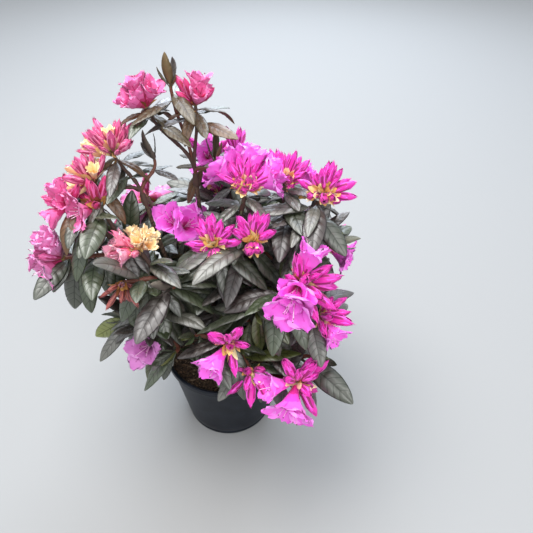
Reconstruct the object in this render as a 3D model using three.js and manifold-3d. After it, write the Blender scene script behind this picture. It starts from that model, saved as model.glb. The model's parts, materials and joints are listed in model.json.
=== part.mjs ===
// Potted rhododendron: a nursery pot filled with potting mix, a short trunk with a root flare,
// forked boughs, and masses of leafy twigs that end in flower trusses.
// Millimetres, +Z up. The origin is the centre of the pot's flat underside, and the plant is seen
// from the front when looking along +Y, with +X to the right.

import * as THREE from "three";
import { mergeVertices } from "three/addons/utils/BufferGeometryUtils.js";
import Module from "manifold-3d";

const wasm = await Module();
wasm.setup();

// Clearance kept between neighbouring solids, and the size below which a joined solid's slivers close up
const GAP = 0.3;
const SLIVER = 0.08;

// Pot: a nursery pot 15 cm across, with a lip round the rim and drain holes in its flat floor
const POT = {
  rimRadius: 75,
  baseRadius: 57,
  height: 120,
  wall: 1.8,
  floor: 2.4,
  lipHeight: 9,
  lipDepth: 2.2,
  bevel: 1.2,
  sides: 32,
  drainHoles: 6,
  drainRadius: 4.5,
  drainCircle: 34,
};

// Potting mix: fills the pot up to a little below the rim
const MIX = { belowRim: 11, crumb: 1.3, flatRadius: 24, rings: 5, sides: 26 };

// Trunk, from a flat cut on the potting mix to the fork
const TRUNK = {
  foot: [-130, 8, POT.height - MIX.belowRim + GAP],
  fork: [168, 10, 162],
  footRadius: 9,
  forkRadius: 6.4,
  flareRadius: 7,
  flareHeight: 8,
  flareLobes: 5,
  lobeDepth: 0.4,
  sides: 15,
  steps: 8,
};

// Boughs fork from the trunk and branches from a bough. For each: how far up its parent it starts, its
// radius there, where its tip is (azimuth from +X towards +Y in degrees, reach from the pot's axis, height),
// and the slopes at its start and its tip.
const BOUGHS = [
  { name: "bough_centre", at: 0.97, radius: 4.6, tip: [-12, 13, 242], slopes: [62, 84] },
  { name: "bough_top", at: 0.88, radius: 4.8, tip: [113, 62, 316], slopes: [48, 82] },
  { name: "bough_upper_left", at: 0.76, radius: 4.6, tip: [157, 82, 308], slopes: [34, 80] },
  { name: "bough_right", at: 0.72, radius: 4.4, tip: [7, 68, 260], slopes: [36, 68] },
  { name: "bough_back", at: 0.6, radius: 4.2, tip: [86, 66, 234], slopes: [30, 74] },
  { name: "bough_left", at: 0.54, radius: 4.4, tip: [180, 88, 238], slopes: [26, 68] },
  { name: "bough_front_right", at: 0.48, radius: 4.2, tip: [-38, 60, 216], slopes: [34, 66] },
  { name: "bough_front", at: 0.36, radius: 3.8, tip: [-84, 46, 174], slopes: [30, 50] },
  { name: "bough_low_left", at: 0.3, radius: 3.8, tip: [-164, 60, 160], slopes: [28, 42] },
];
const BRANCH_RADIUS = 3.2;
const BRANCHES = [
  { name: "branch_low_right", from: "bough_front_right", at: 0.3, tip: [-54, 86, 160], slopes: [16, 14] },
  { name: "branch_left_front", from: "bough_left", at: 0.42, tip: [-158, 62, 240], slopes: [50, 74] },
  { name: "branch_back_right", from: "bough_right", at: 0.36, tip: [44, 84, 216], slopes: [24, 58] },
  { name: "branch_back_left", from: "bough_upper_left", at: 0.3, tip: [134, 92, 214], slopes: [26, 56] },
];
const LIMBS = [
  ...BOUGHS.map((bough) => ({ from: "trunk", ...bough })),
  ...BRANCHES.map((branch) => ({ radius: BRANCH_RADIUS, ...branch })),
];
const LIMB = { tipShare: 0.68, sides: 6, steps: 6, pull: 0.38 };

// Masses of foliage: the limb that each one grows on from, and its shoots. A shoot has its tip (azimuth,
// reach, height), the slope of its tip, what it carries there, and the most leaves that it bears.
const MASSES = [
  {
    name: "foliage_top",
    limb: "bough_top",
    shoots: [
      { tip: [121, 78, 419], slope: 84, bloom: "none", leaves: 4 },
      { tip: [137, 89, 401], slope: 60, bloom: "half", leaves: 9 },
      { tip: [106, 64, 403], slope: 78, bloom: "half", leaves: 9 },
      { tip: [99, 90, 330], slope: 40, bloom: "pair", leaves: 9 },
      { tip: [92, 46, 351], slope: 60, bloom: "none", leaves: 9 },
    ],
  },
  {
    name: "foliage_upper_left",
    limb: "bough_upper_left",
    shoots: [
      { tip: [158, 108, 361], slope: 66, bloom: "faded", leaves: 9 },
      { tip: [169, 122, 338], slope: 46, bloom: "faded", leaves: 9 },
      { tip: [141, 82, 350], slope: 74, bloom: "none", leaves: 9 },
    ],
  },
  {
    name: "foliage_left",
    limb: "bough_left",
    shoots: [
      { tip: [176, 116, 320], slope: 60, bloom: "open", leaves: 10 },
      { tip: [177, 142, 326], slope: 48, bloom: "faded", leaves: 8 },
      { tip: [181, 162, 264], slope: 2, bloom: "open", leaves: 12 },
      { tip: [162, 112, 266], slope: 30, bloom: "none", leaves: 11 },
    ],
  },
  {
    name: "foliage_left_front",
    limb: "branch_left_front",
    shoots: [
      { tip: [-169, 79, 284], slope: 66, bloom: "faded", leaves: 11 },
      { tip: [-158, 100, 262], slope: 20, bloom: "none", leaves: 11 },
      { tip: [-134, 62, 262], slope: 40, bloom: "none", leaves: 9 },
    ],
  },
  {
    name: "foliage_centre",
    limb: "bough_centre",
    shoots: [
      { tip: [24, 34, 340], slope: 78, bloom: "full", leaves: 12 },
      { tip: [-92, 20, 296], slope: 62, bloom: "bud", leaves: 11 },
      { tip: [-30, 44, 302], slope: 62, bloom: "bud", leaves: 10 },
      { tip: [135, 66, 264], slope: 56, bloom: "pair", leaves: 11 },
    ],
  },
  {
    name: "foliage_right",
    limb: "bough_right",
    shoots: [
      { tip: [5, 107, 335], slope: 64, bloom: "bud", leaves: 11 },
      { tip: [29, 80, 329], slope: 76, bloom: "bud", leaves: 9 },
      { tip: [-3, 116, 284], slope: 16, bloom: "none", leaves: 10 },
    ],
  },
  {
    name: "foliage_front_right",
    limb: "bough_front_right",
    shoots: [
      { tip: [-33, 99, 276], slope: 46, bloom: "full", leaves: 11 },
      { tip: [-30, 120, 236], slope: 10, bloom: "pair", leaves: 9 },
      { tip: [-58, 78, 250], slope: 30, bloom: "none", leaves: 10 },
    ],
  },
  {
    name: "foliage_front",
    limb: "bough_front",
    shoots: [
      { tip: [-80, 80, 218], slope: 16, bloom: "pair", leaves: 9 },
      { tip: [-68, 92, 180], slope: 0, bloom: "bud", leaves: 8 },
      { tip: [-112, 66, 208], slope: 40, bloom: "none", leaves: 10 },
    ],
  },
  {
    name: "foliage_low_right",
    limb: "branch_low_right",
    shoots: [
      { tip: [-49, 126, 174], slope: 22, bloom: "full", leaves: 12 },
      { tip: [-34, 118, 178], slope: 14, bloom: "none", leaves: 9 },
    ],
  },
  {
    name: "foliage_low_left",
    limb: "bough_low_left",
    shoots: [
      { tip: [-163, 84, 152], slope: -4, bloom: "pair", leaves: 8 },
      { tip: [-178, 112, 170], slope: 10, bloom: "none", leaves: 10 },
      { tip: [-134, 72, 168], slope: 10, bloom: "none", leaves: 9 },
      { tip: [-172, 90, 206], slope: 40, bloom: "none", leaves: 10 },
    ],
  },
  {
    name: "foliage_back",
    limb: "bough_back",
    shoots: [
      { tip: [81, 108, 324], slope: 64, bloom: "bud", leaves: 10 },
      { tip: [94, 118, 266], slope: 38, bloom: "open", leaves: 11 },
      { tip: [76, 110, 214], slope: 12, bloom: "none", leaves: 10 },
    ],
  },
  {
    name: "foliage_back_right",
    limb: "branch_back_right",
    shoots: [
      { tip: [46, 120, 282], slope: 54, bloom: "open", leaves: 11 },
      { tip: [24, 132, 232], slope: 24, bloom: "bud", leaves: 10 },
      { tip: [52, 128, 200], slope: 6, bloom: "none", leaves: 10 },
    ],
  },
  {
    name: "foliage_back_left",
    limb: "branch_back_left",
    shoots: [
      { tip: [134, 130, 276], slope: 48, bloom: "open", leaves: 11 },
      { tip: [154, 136, 228], slope: 20, bloom: "bud", leaves: 10 },
      { tip: [118, 128, 202], slope: 8, bloom: "none", leaves: 10 },
    ],
  },
];

// Twigs, three-sided: a stem on from the limb, and the shoots that fork from the stem's end
const TWIG = { stemLength: 12, forkRadius: 2.5, tipRadius: 2.1, sides: 3, steps: 3, pull: 0.42 };

// Leaves: they stand at the golden angle to each other, back from each shoot's tip, and arch down. Widths,
// fold and sag are shares of the length. A leaf may only touch others of its mass within its root's share.
const LEAF = {
  length: 60,
  lengthSpread: 0.28,
  width: 0.42,
  widest: 0.46,
  fold: 0.035,
  sag: 0.2,
  rootDepth: 0.8,
  firstAt: 6,
  lastShare: 0.1,
  spacing: 3.4,
  nearTilt: 66,
  farTilt: 108,
  tiltSpread: 26,
  turnSpread: 0.8,
  droop: 0.2,
  droopSpread: 0.5,
  lean: 0.6,
  tries: 16,
  rootShare: 0.3,
  hang: 66,
  lowest: POT.height + 4,
};

// Flowers and buds, fanned out evenly from each shoot's tip
const FLOWER = { length: 31, lobeRadius: 21, notchRadius: 12.5, notchBack: 5, throat: 0.42, lobes: 5 };
const BUD = { length: 29, radius: 5, widest: 0.64 };
const KNOB = { radius: 3.4, depth: 5, seat: 0.8 };
const FAN_START = 0.3;
const SIZE_SPREAD = 0.2;
const BLOOMS = {
  full: { flowers: 5, buds: 2, fan: 88, size: 1.04 },
  open: { flowers: 4, buds: 0, fan: 80, size: 1 },
  half: { flowers: 4, buds: 0, fan: 58, size: 0.82 },
  pair: { flowers: 2, buds: 1, fan: 62, size: 1 },
  bud: { flowers: 1, buds: 5, fan: 70, size: 0.96 },
  faded: { flowers: 2, buds: 3, fan: 80, size: 0.88 },
  none: { flowers: 0, buds: 1, fan: 0, size: 1 },
};

const ORIGIN = new THREE.Vector3(0, 0, 0);
const UP = new THREE.Vector3(0, 0, 1);
const GOLDEN_ANGLE = THREE.MathUtils.degToRad(137.508);
const { degToRad, lerp } = THREE.MathUtils;

const material = (color, roughness) => new THREE.MeshStandardMaterial({ color, roughness, metalness: 0 });
const MATERIALS = {
  pot: material(0x1b222b, 0.55),
  mix: material(0x33261c, 1),
  bark: material(0x59402f, 0.85),
  foliage: material(0x4b5148, 0.6),
};

// A repeatable number from 0 to 1 for a set of keys
function chance(...keys) {
  const mixed = keys.reduce((sum, key, index) => sum + key * (12.9898 + 65.233 * index), 1.37);
  const wave = Math.sin(mixed) * 43758.5453;
  return wave - Math.floor(wave);
}

function pointAt([azimuth, reach, height]) {
  const turn = degToRad(azimuth);
  return new THREE.Vector3(reach * Math.cos(turn), reach * Math.sin(turn), height);
}

function sloped(outward, slope) {
  const angle = degToRad(slope);
  return outward.clone().multiplyScalar(Math.cos(angle)).addScaledVector(UP, Math.sin(angle));
}

// Two vectors at right angles to an axis and to each other
function across(axis) {
  const helper = Math.abs(axis.z) < 0.9 ? UP : new THREE.Vector3(1, 0, 0);
  const first = new THREE.Vector3().crossVectors(helper, axis).normalize();
  return [first, new THREE.Vector3().crossVectors(axis, first)];
}

// A point at a distance along an axis from a base, and aside from it at an angle
function pointRound(base, axis, along, radius, turn) {
  const [first, second] = across(axis);
  return base
    .clone()
    .addScaledVector(axis, along)
    .addScaledVector(first, radius * Math.cos(turn))
    .addScaledVector(second, radius * Math.sin(turn));
}

function solidOfGeometry(geometry) {
  const bare = geometry.clone();
  bare.deleteAttribute("normal");
  bare.deleteAttribute("uv");
  const merged = mergeVertices(bare, 1e-4);
  const vertProperties = new Float32Array(merged.getAttribute("position").array);
  const triVerts = new Uint32Array(merged.getIndex().array);
  return new wasm.Manifold(new wasm.Mesh({ numProp: 3, vertProperties, triVerts }));
}

function solidOf({ points, faces }) {
  const vertProperties = new Float32Array(points.flatMap((point) => point.toArray()));
  const triVerts = new Uint32Array(faces.flat());
  return new wasm.Manifold(new wasm.Mesh({ numProp: 3, vertProperties, triVerts }));
}

// The largest body of a solid, without loose scraps, sealed hollows or slivers
function mainBody(solid) {
  return solid
    .asOriginal()
    .simplify(SLIVER)
    .decompose()
    .reduce((best, body) => (body.volume() > best.volume() ? body : best));
}

function meshOf(name, solid, surface) {
  const { vertProperties, triVerts } = solid.getMesh();
  const geometry = new THREE.BufferGeometry();
  geometry.setAttribute("position", new THREE.BufferAttribute(vertProperties, 3));
  geometry.setIndex(new THREE.BufferAttribute(triVerts, 1));
  geometry.computeVertexNormals();
  const mesh = new THREE.Mesh(geometry, surface);
  mesh.name = name;
  return mesh;
}

// A closed piece through rings of equally many points
function loft(rings) {
  const sides = rings[0].length;
  const last = (rings.length - 1) * sides;
  const faces = [];
  for (let start = 0; start < last; start += sides) {
    for (let side = 0; side < sides; side++) {
      const a = start + side;
      const b = start + ((side + 1) % sides);
      faces.push([a, b, b + sides], [a, b + sides, a + sides]);
    }
  }
  for (let side = 1; side < sides - 1; side++) {
    faces.push([0, side + 1, side], [last, last + side, last + side + 1]);
  }
  return { points: rings.flat(), faces };
}

// Rings along a curve, each square to it and not twisted against the one before
function ringsAlong(curve, steps, sides, radiusAt) {
  let first = across(curve.getTangentAt(0))[0];
  return Array.from({ length: steps + 1 }, (unused, step) => {
    const share = step / steps;
    const centre = curve.getPointAt(share);
    const tangent = curve.getTangentAt(share);
    first = first.clone().addScaledVector(tangent, -first.dot(tangent)).normalize();
    const second = new THREE.Vector3().crossVectors(tangent, first);
    return Array.from({ length: sides }, (none, side) => {
      const turn = (side / sides) * 2 * Math.PI;
      const radius = radiusAt(share, turn);
      return centre
        .clone()
        .addScaledVector(first, radius * Math.cos(turn))
        .addScaledVector(second, radius * Math.sin(turn));
    });
  });
}

// The convex lengths between one ring and the next
function lengthsOf(rings) {
  return rings.slice(1).map((ring, index) => loft([rings[index], ring]));
}

function potSolid() {
  const { rimRadius, baseRadius, height, wall, floor, lipHeight, lipDepth, bevel } = POT;
  const outerAt = (z) => lerp(baseRadius, rimRadius - lipDepth, z / height);
  const profile = [
    [0, 0],
    [baseRadius - bevel, 0],
    [baseRadius, bevel],
    [outerAt(height - lipHeight), height - lipHeight],
    [rimRadius - bevel / 2, height - lipHeight + bevel],
    [rimRadius, height - bevel],
    [rimRadius - bevel, height],
    [outerAt(height) - wall, height],
    [baseRadius - wall, floor],
    [0, floor],
  ].map(([x, y]) => new THREE.Vector2(x, y));
  const body = new THREE.LatheGeometry(profile, POT.sides).rotateX(Math.PI / 2);
  const drain = new THREE.CylinderGeometry(POT.drainRadius, POT.drainRadius, height / 3, 8);
  let solid = solidOfGeometry(body);
  for (let hole = 0; hole < POT.drainHoles; hole++) {
    const [x, y] = pointAt([(hole / POT.drainHoles) * 360, POT.drainCircle, 0]);
    solid = solid.subtract(solidOfGeometry(drain.clone().rotateX(Math.PI / 2).translate(x, y, 0)));
  }
  return solid;
}

// The potting mix has a crumbly top, which is level where the trunk stands
function mixSolid() {
  const { rimRadius, baseRadius, height, wall, lipDepth } = POT;
  const top = height - MIX.belowRim;
  const bottom = POT.floor + GAP;
  const insideAt = (z) => {
    const share = (z - POT.floor) / (height - POT.floor);
    const potRadius = lerp(baseRadius, rimRadius - lipDepth, share) - wall;
    return potRadius * Math.cos(Math.PI / POT.sides) - GAP;
  };
  const foot = pointAt(TRUNK.foot);
  const ring = (radius, level, roughness, key) =>
    Array.from({ length: MIX.sides }, (unused, side) => {
      const turn = (side / MIX.sides) * 2 * Math.PI;
      const point = new THREE.Vector3(radius * Math.cos(turn), radius * Math.sin(turn), level);
      const clearOfTrunk = Math.hypot(point.x - foot.x, point.y - foot.y) > MIX.flatRadius;
      if (clearOfTrunk) point.z += roughness * (2 * chance(key, side, 3) - 1);
      return point;
    });
  const edge = top - MIX.crumb;
  const rings = [ring(insideAt(bottom), bottom, 0, 0), ring(insideAt(edge), edge, 0, 0)];
  for (let step = 1; step < MIX.rings; step++) {
    rings.push(ring(insideAt(top) * (1 - step / MIX.rings), top, MIX.crumb, step));
  }
  return solidOf(loft(rings));
}

const trunkCurve = new THREE.LineCurve3(pointAt(TRUNK.foot), pointAt(TRUNK.fork));

function trunkRings(extra) {
  const rise = TRUNK.fork[2] - TRUNK.foot[2];
  const rings = ringsAlong(trunkCurve, TRUNK.steps, TRUNK.sides, (share, turn) => {
    const flare = TRUNK.flareRadius * Math.exp((-share * rise) / TRUNK.flareHeight);
    const lobe = 1 - TRUNK.lobeDepth + TRUNK.lobeDepth * Math.cos(TRUNK.flareLobes * turn);
    return lerp(TRUNK.footRadius, TRUNK.forkRadius, share) + flare * lobe + extra;
  });
  rings[0].forEach((point) => (point.z = TRUNK.foot[2]));
  return rings;
}

function limbCurve(limb, parentCurve) {
  const start = parentCurve.getPointAt(limb.at);
  const end = pointAt(limb.tip);
  const span = start.distanceTo(end) * LIMB.pull;
  const outward = end.clone().sub(start).setZ(0).normalize();
  return new THREE.CubicBezierCurve3(
    start,
    start.clone().addScaledVector(sloped(outward, limb.slopes[0]), span),
    end.clone().addScaledVector(sloped(outward, limb.slopes[1]), -span),
    end,
  );
}

function limbRings(limb, curve, extra) {
  const radiusAt = (share) => limb.radius * lerp(1, LIMB.tipShare, share) + extra;
  return ringsAlong(curve, LIMB.steps, LIMB.sides, radiusAt);
}

// The trunk and limbs: each is cut clear of those before it
function growLimbs() {
  const curves = { trunk: trunkCurve };
  const solids = { trunk: solidOf(loft(trunkRings(0))) };
  const lengths = lengthsOf(trunkRings(0));
  let taken = solidOf(loft(trunkRings(GAP)));
  for (const limb of LIMBS) {
    const curve = limbCurve(limb, curves[limb.from]);
    curves[limb.name] = curve;
    solids[limb.name] = mainBody(solidOf(loft(limbRings(limb, curve, 0))).subtract(taken));
    lengths.push(...lengthsOf(limbRings(limb, curve, 0)));
    taken = taken.add(solidOf(loft(limbRings(limb, curve, GAP))));
  }
  return { curves, solids, lengths };
}

// A leaf of six faces: root, tip, two edges, and a point below them on the midrib
function leafPiece(root, direction, normal, length) {
  const side = new THREE.Vector3().crossVectors(direction, normal);
  const onMidrib = (share, lift) =>
    root
      .clone()
      .addScaledVector(direction, share * length)
      .addScaledVector(normal, lift - LEAF.sag * length * share ** 2);
  const onEdge = (hand) => onMidrib(LEAF.widest, 0).addScaledVector(side, (hand * LEAF.width * length) / 2);
  return doubleFan(root.clone().addScaledVector(direction, -LEAF.rootDepth), onMidrib(1, 0), [
    onEdge(1),
    onMidrib(LEAF.widest, -LEAF.fold * length),
    onEdge(-1),
  ]);
}

// Two fans of faces, from a back point and a front point to the same ring
function doubleFan(back, front, ring) {
  const faces = ring.flatMap((unused, index) => {
    const a = 2 + index;
    const b = 2 + ((index + 1) % ring.length);
    return [
      [0, b, a],
      [1, a, b],
    ];
  });
  return { points: [back, front, ...ring], faces };
}

// An open flower: a funnel with a rim of lobes and notches, hollowed from the front
function flowerPiece(base, axis, turn, size) {
  const corners = FLOWER.lobes * 2;
  const ring = Array.from({ length: corners }, (unused, index) => {
    const isLobe = index % 2 === 0;
    const along = FLOWER.length - (isLobe ? 0 : FLOWER.notchBack);
    const radius = isLobe ? FLOWER.lobeRadius : FLOWER.notchRadius;
    return pointRound(base, axis, size * along, size * radius, turn + (index / corners) * 2 * Math.PI);
  });
  const back = base.clone().addScaledVector(axis, -KNOB.radius / 2);
  const front = base.clone().addScaledVector(axis, size * FLOWER.length * FLOWER.throat);
  return doubleFan(back, front, ring);
}

function budPiece(base, axis, turn, size) {
  const ring = [0, 1, 2, 3].map((corner) =>
    pointRound(base, axis, size * BUD.length * BUD.widest, BUD.radius, turn + (corner * Math.PI) / 2),
  );
  const back = base.clone().addScaledVector(axis, -KNOB.radius / 2);
  return doubleFan(back, base.clone().addScaledVector(axis, size * BUD.length), ring);
}

function knobPiece(tip, axis) {
  const ring = [0, 1, 2, 3].map((corner) => pointRound(tip, axis, 0, KNOB.radius, (corner * Math.PI) / 2));
  const back = tip.clone().addScaledVector(axis, -KNOB.depth);
  return doubleFan(back, tip.clone().addScaledVector(axis, KNOB.radius), ring);
}

// The flowers and buds of a truss, spread evenly over a cap round the shoot's own axis. Each is given as the
// versions to try in turn, as a flower that has no room stays a bud.
function trussPieces(shoot, axis, key) {
  const { flowers, buds, fan, size } = BLOOMS[shoot.bloom];
  const count = flowers + buds;
  const capHeight = 1 - Math.cos(degToRad(fan));
  return Array.from({ length: count }, (unused, index) => {
    const tilt = Math.acos(1 - (capHeight * (index + FAN_START)) / count);
    const outward = pointRound(ORIGIN, axis, Math.cos(tilt), Math.sin(tilt), index * GOLDEN_ANGLE + key);
    const spread = 1 + SIZE_SPREAD * (chance(key, index, 5) - 0.5);
    const opensHere = Math.floor(((index + 1) * flowers) / count) > Math.floor((index * flowers) / count);
    const base = pointAt(shoot.tip).addScaledVector(outward, KNOB.radius * KNOB.seat);
    const kinds = opensHere ? [flowerPiece, budPiece] : [budPiece];
    return kinds.map((kind) => ({ ...kind(base, outward, key + index, size * spread), truss: shoot }));
  });
}

// A point on the straight lengths that a shoot's twig is made of
function onTwig(curve, share) {
  const step = Math.min(Math.floor(share * TWIG.steps), TWIG.steps - 1);
  const from = curve.getPointAt(step / TWIG.steps);
  return from.lerp(curve.getPointAt((step + 1) / TWIG.steps), share * TWIG.steps - step);
}

function leafAt(curve, shoot, index, key) {
  const share = 1 - (LEAF.firstAt + index * LEAF.spacing) / curve.getLength();
  const tangent = curve.getTangentAt(share);
  const turn = index * GOLDEN_ANGLE + LEAF.turnSpread * chance(key, index, 1);
  const radial = pointRound(ORIGIN, tangent, 0, 1, turn);
  const tilt = degToRad(
    lerp(LEAF.nearTilt, LEAF.farTilt, index / shoot.leaves) + LEAF.tiltSpread * (chance(key, index, 2) - 0.5),
  );
  const direction = tangent
    .multiplyScalar(Math.cos(tilt))
    .addScaledVector(radial, Math.sin(tilt))
    .addScaledVector(UP, -LEAF.droop - LEAF.droopSpread * chance(key, index, 3))
    .normalize();
  const normal = UP.clone().addScaledVector(radial, LEAF.lean);
  normal.addScaledVector(direction, -normal.dot(direction)).normalize();
  const length = LEAF.length * (1 + LEAF.lengthSpread * (chance(key, index, 4) - 0.5));
  return leafPiece(onTwig(curve, share), direction, normal, length);
}

// A piece with what a test of separation needs: box, face normals and edge directions
function measured(piece) {
  const { points, faces } = piece;
  const normals = [];
  const edges = [];
  for (const corners of faces) {
    const [a, b, c] = corners.map((corner) => points[corner]);
    const normal = new THREE.Vector3().crossVectors(b.clone().sub(a), c.clone().sub(a));
    normals.push(normal.normalize());
    corners.forEach((corner, index) => {
      const next = corners[(index + 1) % 3];
      if (corner < next) edges.push(points[next].clone().sub(points[corner]));
    });
  }
  return { ...piece, normals, edges, box: new THREE.Box3().setFromPoints(points).expandByScalar(GAP) };
}

// The same piece without its root, which may touch what it grows from
function beyondRoot(piece) {
  const [root, end, ...rest] = piece.points;
  return { ...piece, points: [root.clone().lerp(end, LEAF.rootShare), end, ...rest] };
}

function separates(axis, a, b) {
  const along = (piece) => piece.points.map((point) => axis.dot(point));
  const fromA = along(a);
  const fromB = along(b);
  return Math.min(...fromA) > Math.max(...fromB) + GAP || Math.min(...fromB) > Math.max(...fromA) + GAP;
}

function isApart(a, b) {
  if (!a.box.intersectsBox(b.box)) return true;
  if (a.normals.some((axis) => separates(axis, a, b))) return true;
  if (b.normals.some((axis) => separates(axis, a, b))) return true;
  const axis = new THREE.Vector3();
  return a.edges.some((edgeA) =>
    b.edges.some((edgeB) => {
      axis.crossVectors(edgeA, edgeB);
      return axis.lengthSq() > 1e-3 && separates(axis.normalize(), a, b);
    }),
  );
}

// What each mass holds so far, and the test that a new piece keeps to the mass's own space
class Crown {
  constructor(limbLengths) {
    this.limbLengths = limbLengths.map(measured);
    this.held = MASSES.map(() => []);
    this.fusing = MASSES.map(() => []);
  }

  // Within its own mass, a piece may only meet its twig at its root, and the other flowers of its truss
  hasRoom(piece, mass, lowest) {
    if (piece.points.some((point) => point.z < lowest)) return false;
    if (!this.limbLengths.every((length) => isApart(length, piece))) return false;
    const outer = beyondRoot(piece);
    return this.held.every((pieces, other) =>
      pieces.every((taken) => {
        if (other !== mass) return isApart(taken, piece);
        return (piece.truss && piece.truss === taken.truss) || isApart(taken.outer ?? taken, outer);
      }),
    );
  }

  // Fuses the first of some versions of a piece that has room, if any has
  fuseFirst(versions, mass, lowest) {
    for (const version of versions) {
      const piece = measured(version);
      if (this.hasRoom(piece, mass, lowest)) {
        this.held[mass].push({ ...piece, outer: beyondRoot(piece) });
        this.fusing[mass].push(piece);
        return;
      }
    }
  }

  fuseTwig(curve, steps, radii, mass) {
    const rings = ringsAlong(curve, steps, TWIG.sides, (share) => lerp(...radii, share));
    this.fusing[mass].push(loft(rings));
    this.held[mass].push(...lengthsOf(rings).map(measured));
  }
}

function shootCurve(fork, forkAxis, shoot) {
  const tip = pointAt(shoot.tip);
  const span = fork.distanceTo(tip) * TWIG.pull;
  const axis = sloped(tip.clone().setZ(0).normalize(), shoot.slope);
  const curve = new THREE.CubicBezierCurve3(
    fork,
    fork.clone().addScaledVector(forkAxis, span),
    tip.clone().addScaledVector(axis, -span),
    tip,
  );
  return { curve, axis };
}

// A mass's stem goes on from the tip of its limb, and its shoots fork from the stem's end
function growTwigs(crown, mass, massIndex, limbCurveOfMass) {
  const axis = limbCurveOfMass.getTangentAt(1);
  const root = limbCurveOfMass.getPointAt(1).addScaledVector(axis, GAP);
  const fork = root.clone().addScaledVector(axis, TWIG.stemLength);
  const stemEnd = fork.clone().addScaledVector(axis, TWIG.forkRadius / 2);
  const limb = LIMBS.find(({ name }) => name === mass.limb);
  const stemRadius = limb.radius * LIMB.tipShare;
  crown.fuseTwig(new THREE.LineCurve3(root, stemEnd), 1, [stemRadius, TWIG.forkRadius], massIndex);
  return mass.shoots.map((shoot, index) => {
    const { curve, axis: tipAxis } = shootCurve(fork, axis, shoot);
    crown.fuseTwig(curve, TWIG.steps, [TWIG.forkRadius, TWIG.tipRadius], massIndex);
    return { shoot, curve, tipAxis, massIndex, key: massIndex * 10 + index };
  });
}

function growTruss(crown, { shoot, tipAxis, massIndex, key }) {
  crown.fusing[massIndex].push(knobPiece(pointAt(shoot.tip), tipAxis));
  for (const versions of trussPieces(shoot, tipAxis, key)) crown.fuseFirst(versions, massIndex, LEAF.lowest);
}

function growLeaves(crown, { shoot, curve, massIndex, key }) {
  const lowest = Math.max(LEAF.lowest, shoot.tip[2] - LEAF.hang);
  const leafy = (1 - LEAF.lastShare) * curve.getLength() - LEAF.firstAt;
  const places = Math.min(shoot.leaves, Math.floor(leafy / LEAF.spacing));
  for (let index = 0; index < places; index++) {
    const versions = Array.from({ length: LEAF.tries }, (unused, trial) =>
      leafAt(curve, shoot, index, key + trial / LEAF.tries),
    );
    crown.fuseFirst(versions, massIndex, lowest);
  }
}

// All twigs come first, then all trusses, and the leaves take the room that is left
function growMasses(curves, limbLengths) {
  const crown = new Crown(limbLengths);
  const shoots = MASSES.flatMap((mass, index) => growTwigs(crown, mass, index, curves[mass.limb]));
  shoots.forEach((shoot) => growTruss(crown, shoot));
  shoots.forEach((shoot) => growLeaves(crown, shoot));
  return MASSES.map((mass, index) => {
    const fused = crown.fusing[index].map(solidOf).reduce((whole, piece) => whole.add(piece));
    return [mass.name, mainBody(fused)];
  });
}

const plant = new THREE.Group();
plant.add(meshOf("pot", potSolid(), MATERIALS.pot));
plant.add(meshOf("potting_mix", mixSolid(), MATERIALS.mix));
const { curves, solids, lengths } = growLimbs();
Object.entries(solids).forEach(([name, solid]) => plant.add(meshOf(name, solid, MATERIALS.bark)));
growMasses(curves, lengths).forEach(([name, solid]) => plant.add(meshOf(name, solid, MATERIALS.foliage)));

export default plant;
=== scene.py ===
"""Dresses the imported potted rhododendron: bark, twigs, veined leaves, flower trusses, pot and potting mix.

The growth rule is the source's own, in millimetres, so that each leaf, flower and bud stands where the solids
have it. Meshes are made from it in metres, in the same frame. A place is given as an azimuth in degrees from
+X towards +Y, a reach from the pot's axis and a height.
"""

import json
import math
from collections import namedtuple
from copy import copy
from functools import lru_cache
from types import SimpleNamespace as Named

import bpy
import numpy as np
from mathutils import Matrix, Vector, noise

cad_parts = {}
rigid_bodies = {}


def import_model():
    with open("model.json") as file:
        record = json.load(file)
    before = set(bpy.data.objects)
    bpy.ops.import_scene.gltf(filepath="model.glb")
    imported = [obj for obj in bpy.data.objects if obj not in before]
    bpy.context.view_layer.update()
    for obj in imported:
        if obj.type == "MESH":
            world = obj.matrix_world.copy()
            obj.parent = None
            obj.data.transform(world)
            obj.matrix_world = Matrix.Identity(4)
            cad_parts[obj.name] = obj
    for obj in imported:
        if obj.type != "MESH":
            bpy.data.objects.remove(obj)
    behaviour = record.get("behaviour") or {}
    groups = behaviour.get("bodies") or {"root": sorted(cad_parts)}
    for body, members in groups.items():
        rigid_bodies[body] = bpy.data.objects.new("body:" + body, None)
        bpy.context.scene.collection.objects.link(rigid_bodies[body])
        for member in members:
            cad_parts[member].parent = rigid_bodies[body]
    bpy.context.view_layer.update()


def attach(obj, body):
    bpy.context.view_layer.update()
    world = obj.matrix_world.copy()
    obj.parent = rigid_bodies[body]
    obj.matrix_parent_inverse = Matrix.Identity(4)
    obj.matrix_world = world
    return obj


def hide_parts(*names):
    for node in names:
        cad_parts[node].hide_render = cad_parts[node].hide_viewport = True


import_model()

MM = 0.001
TURN = 2 * math.pi
GOLDEN_ANGLE = math.radians(137.508)
CAMERA_TILT = math.radians(48)
UP = np.array([0.0, 0.0, 1.0])
FRONT = np.array([0, -math.sin(CAMERA_TILT), math.cos(CAMERA_TILT)])

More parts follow.
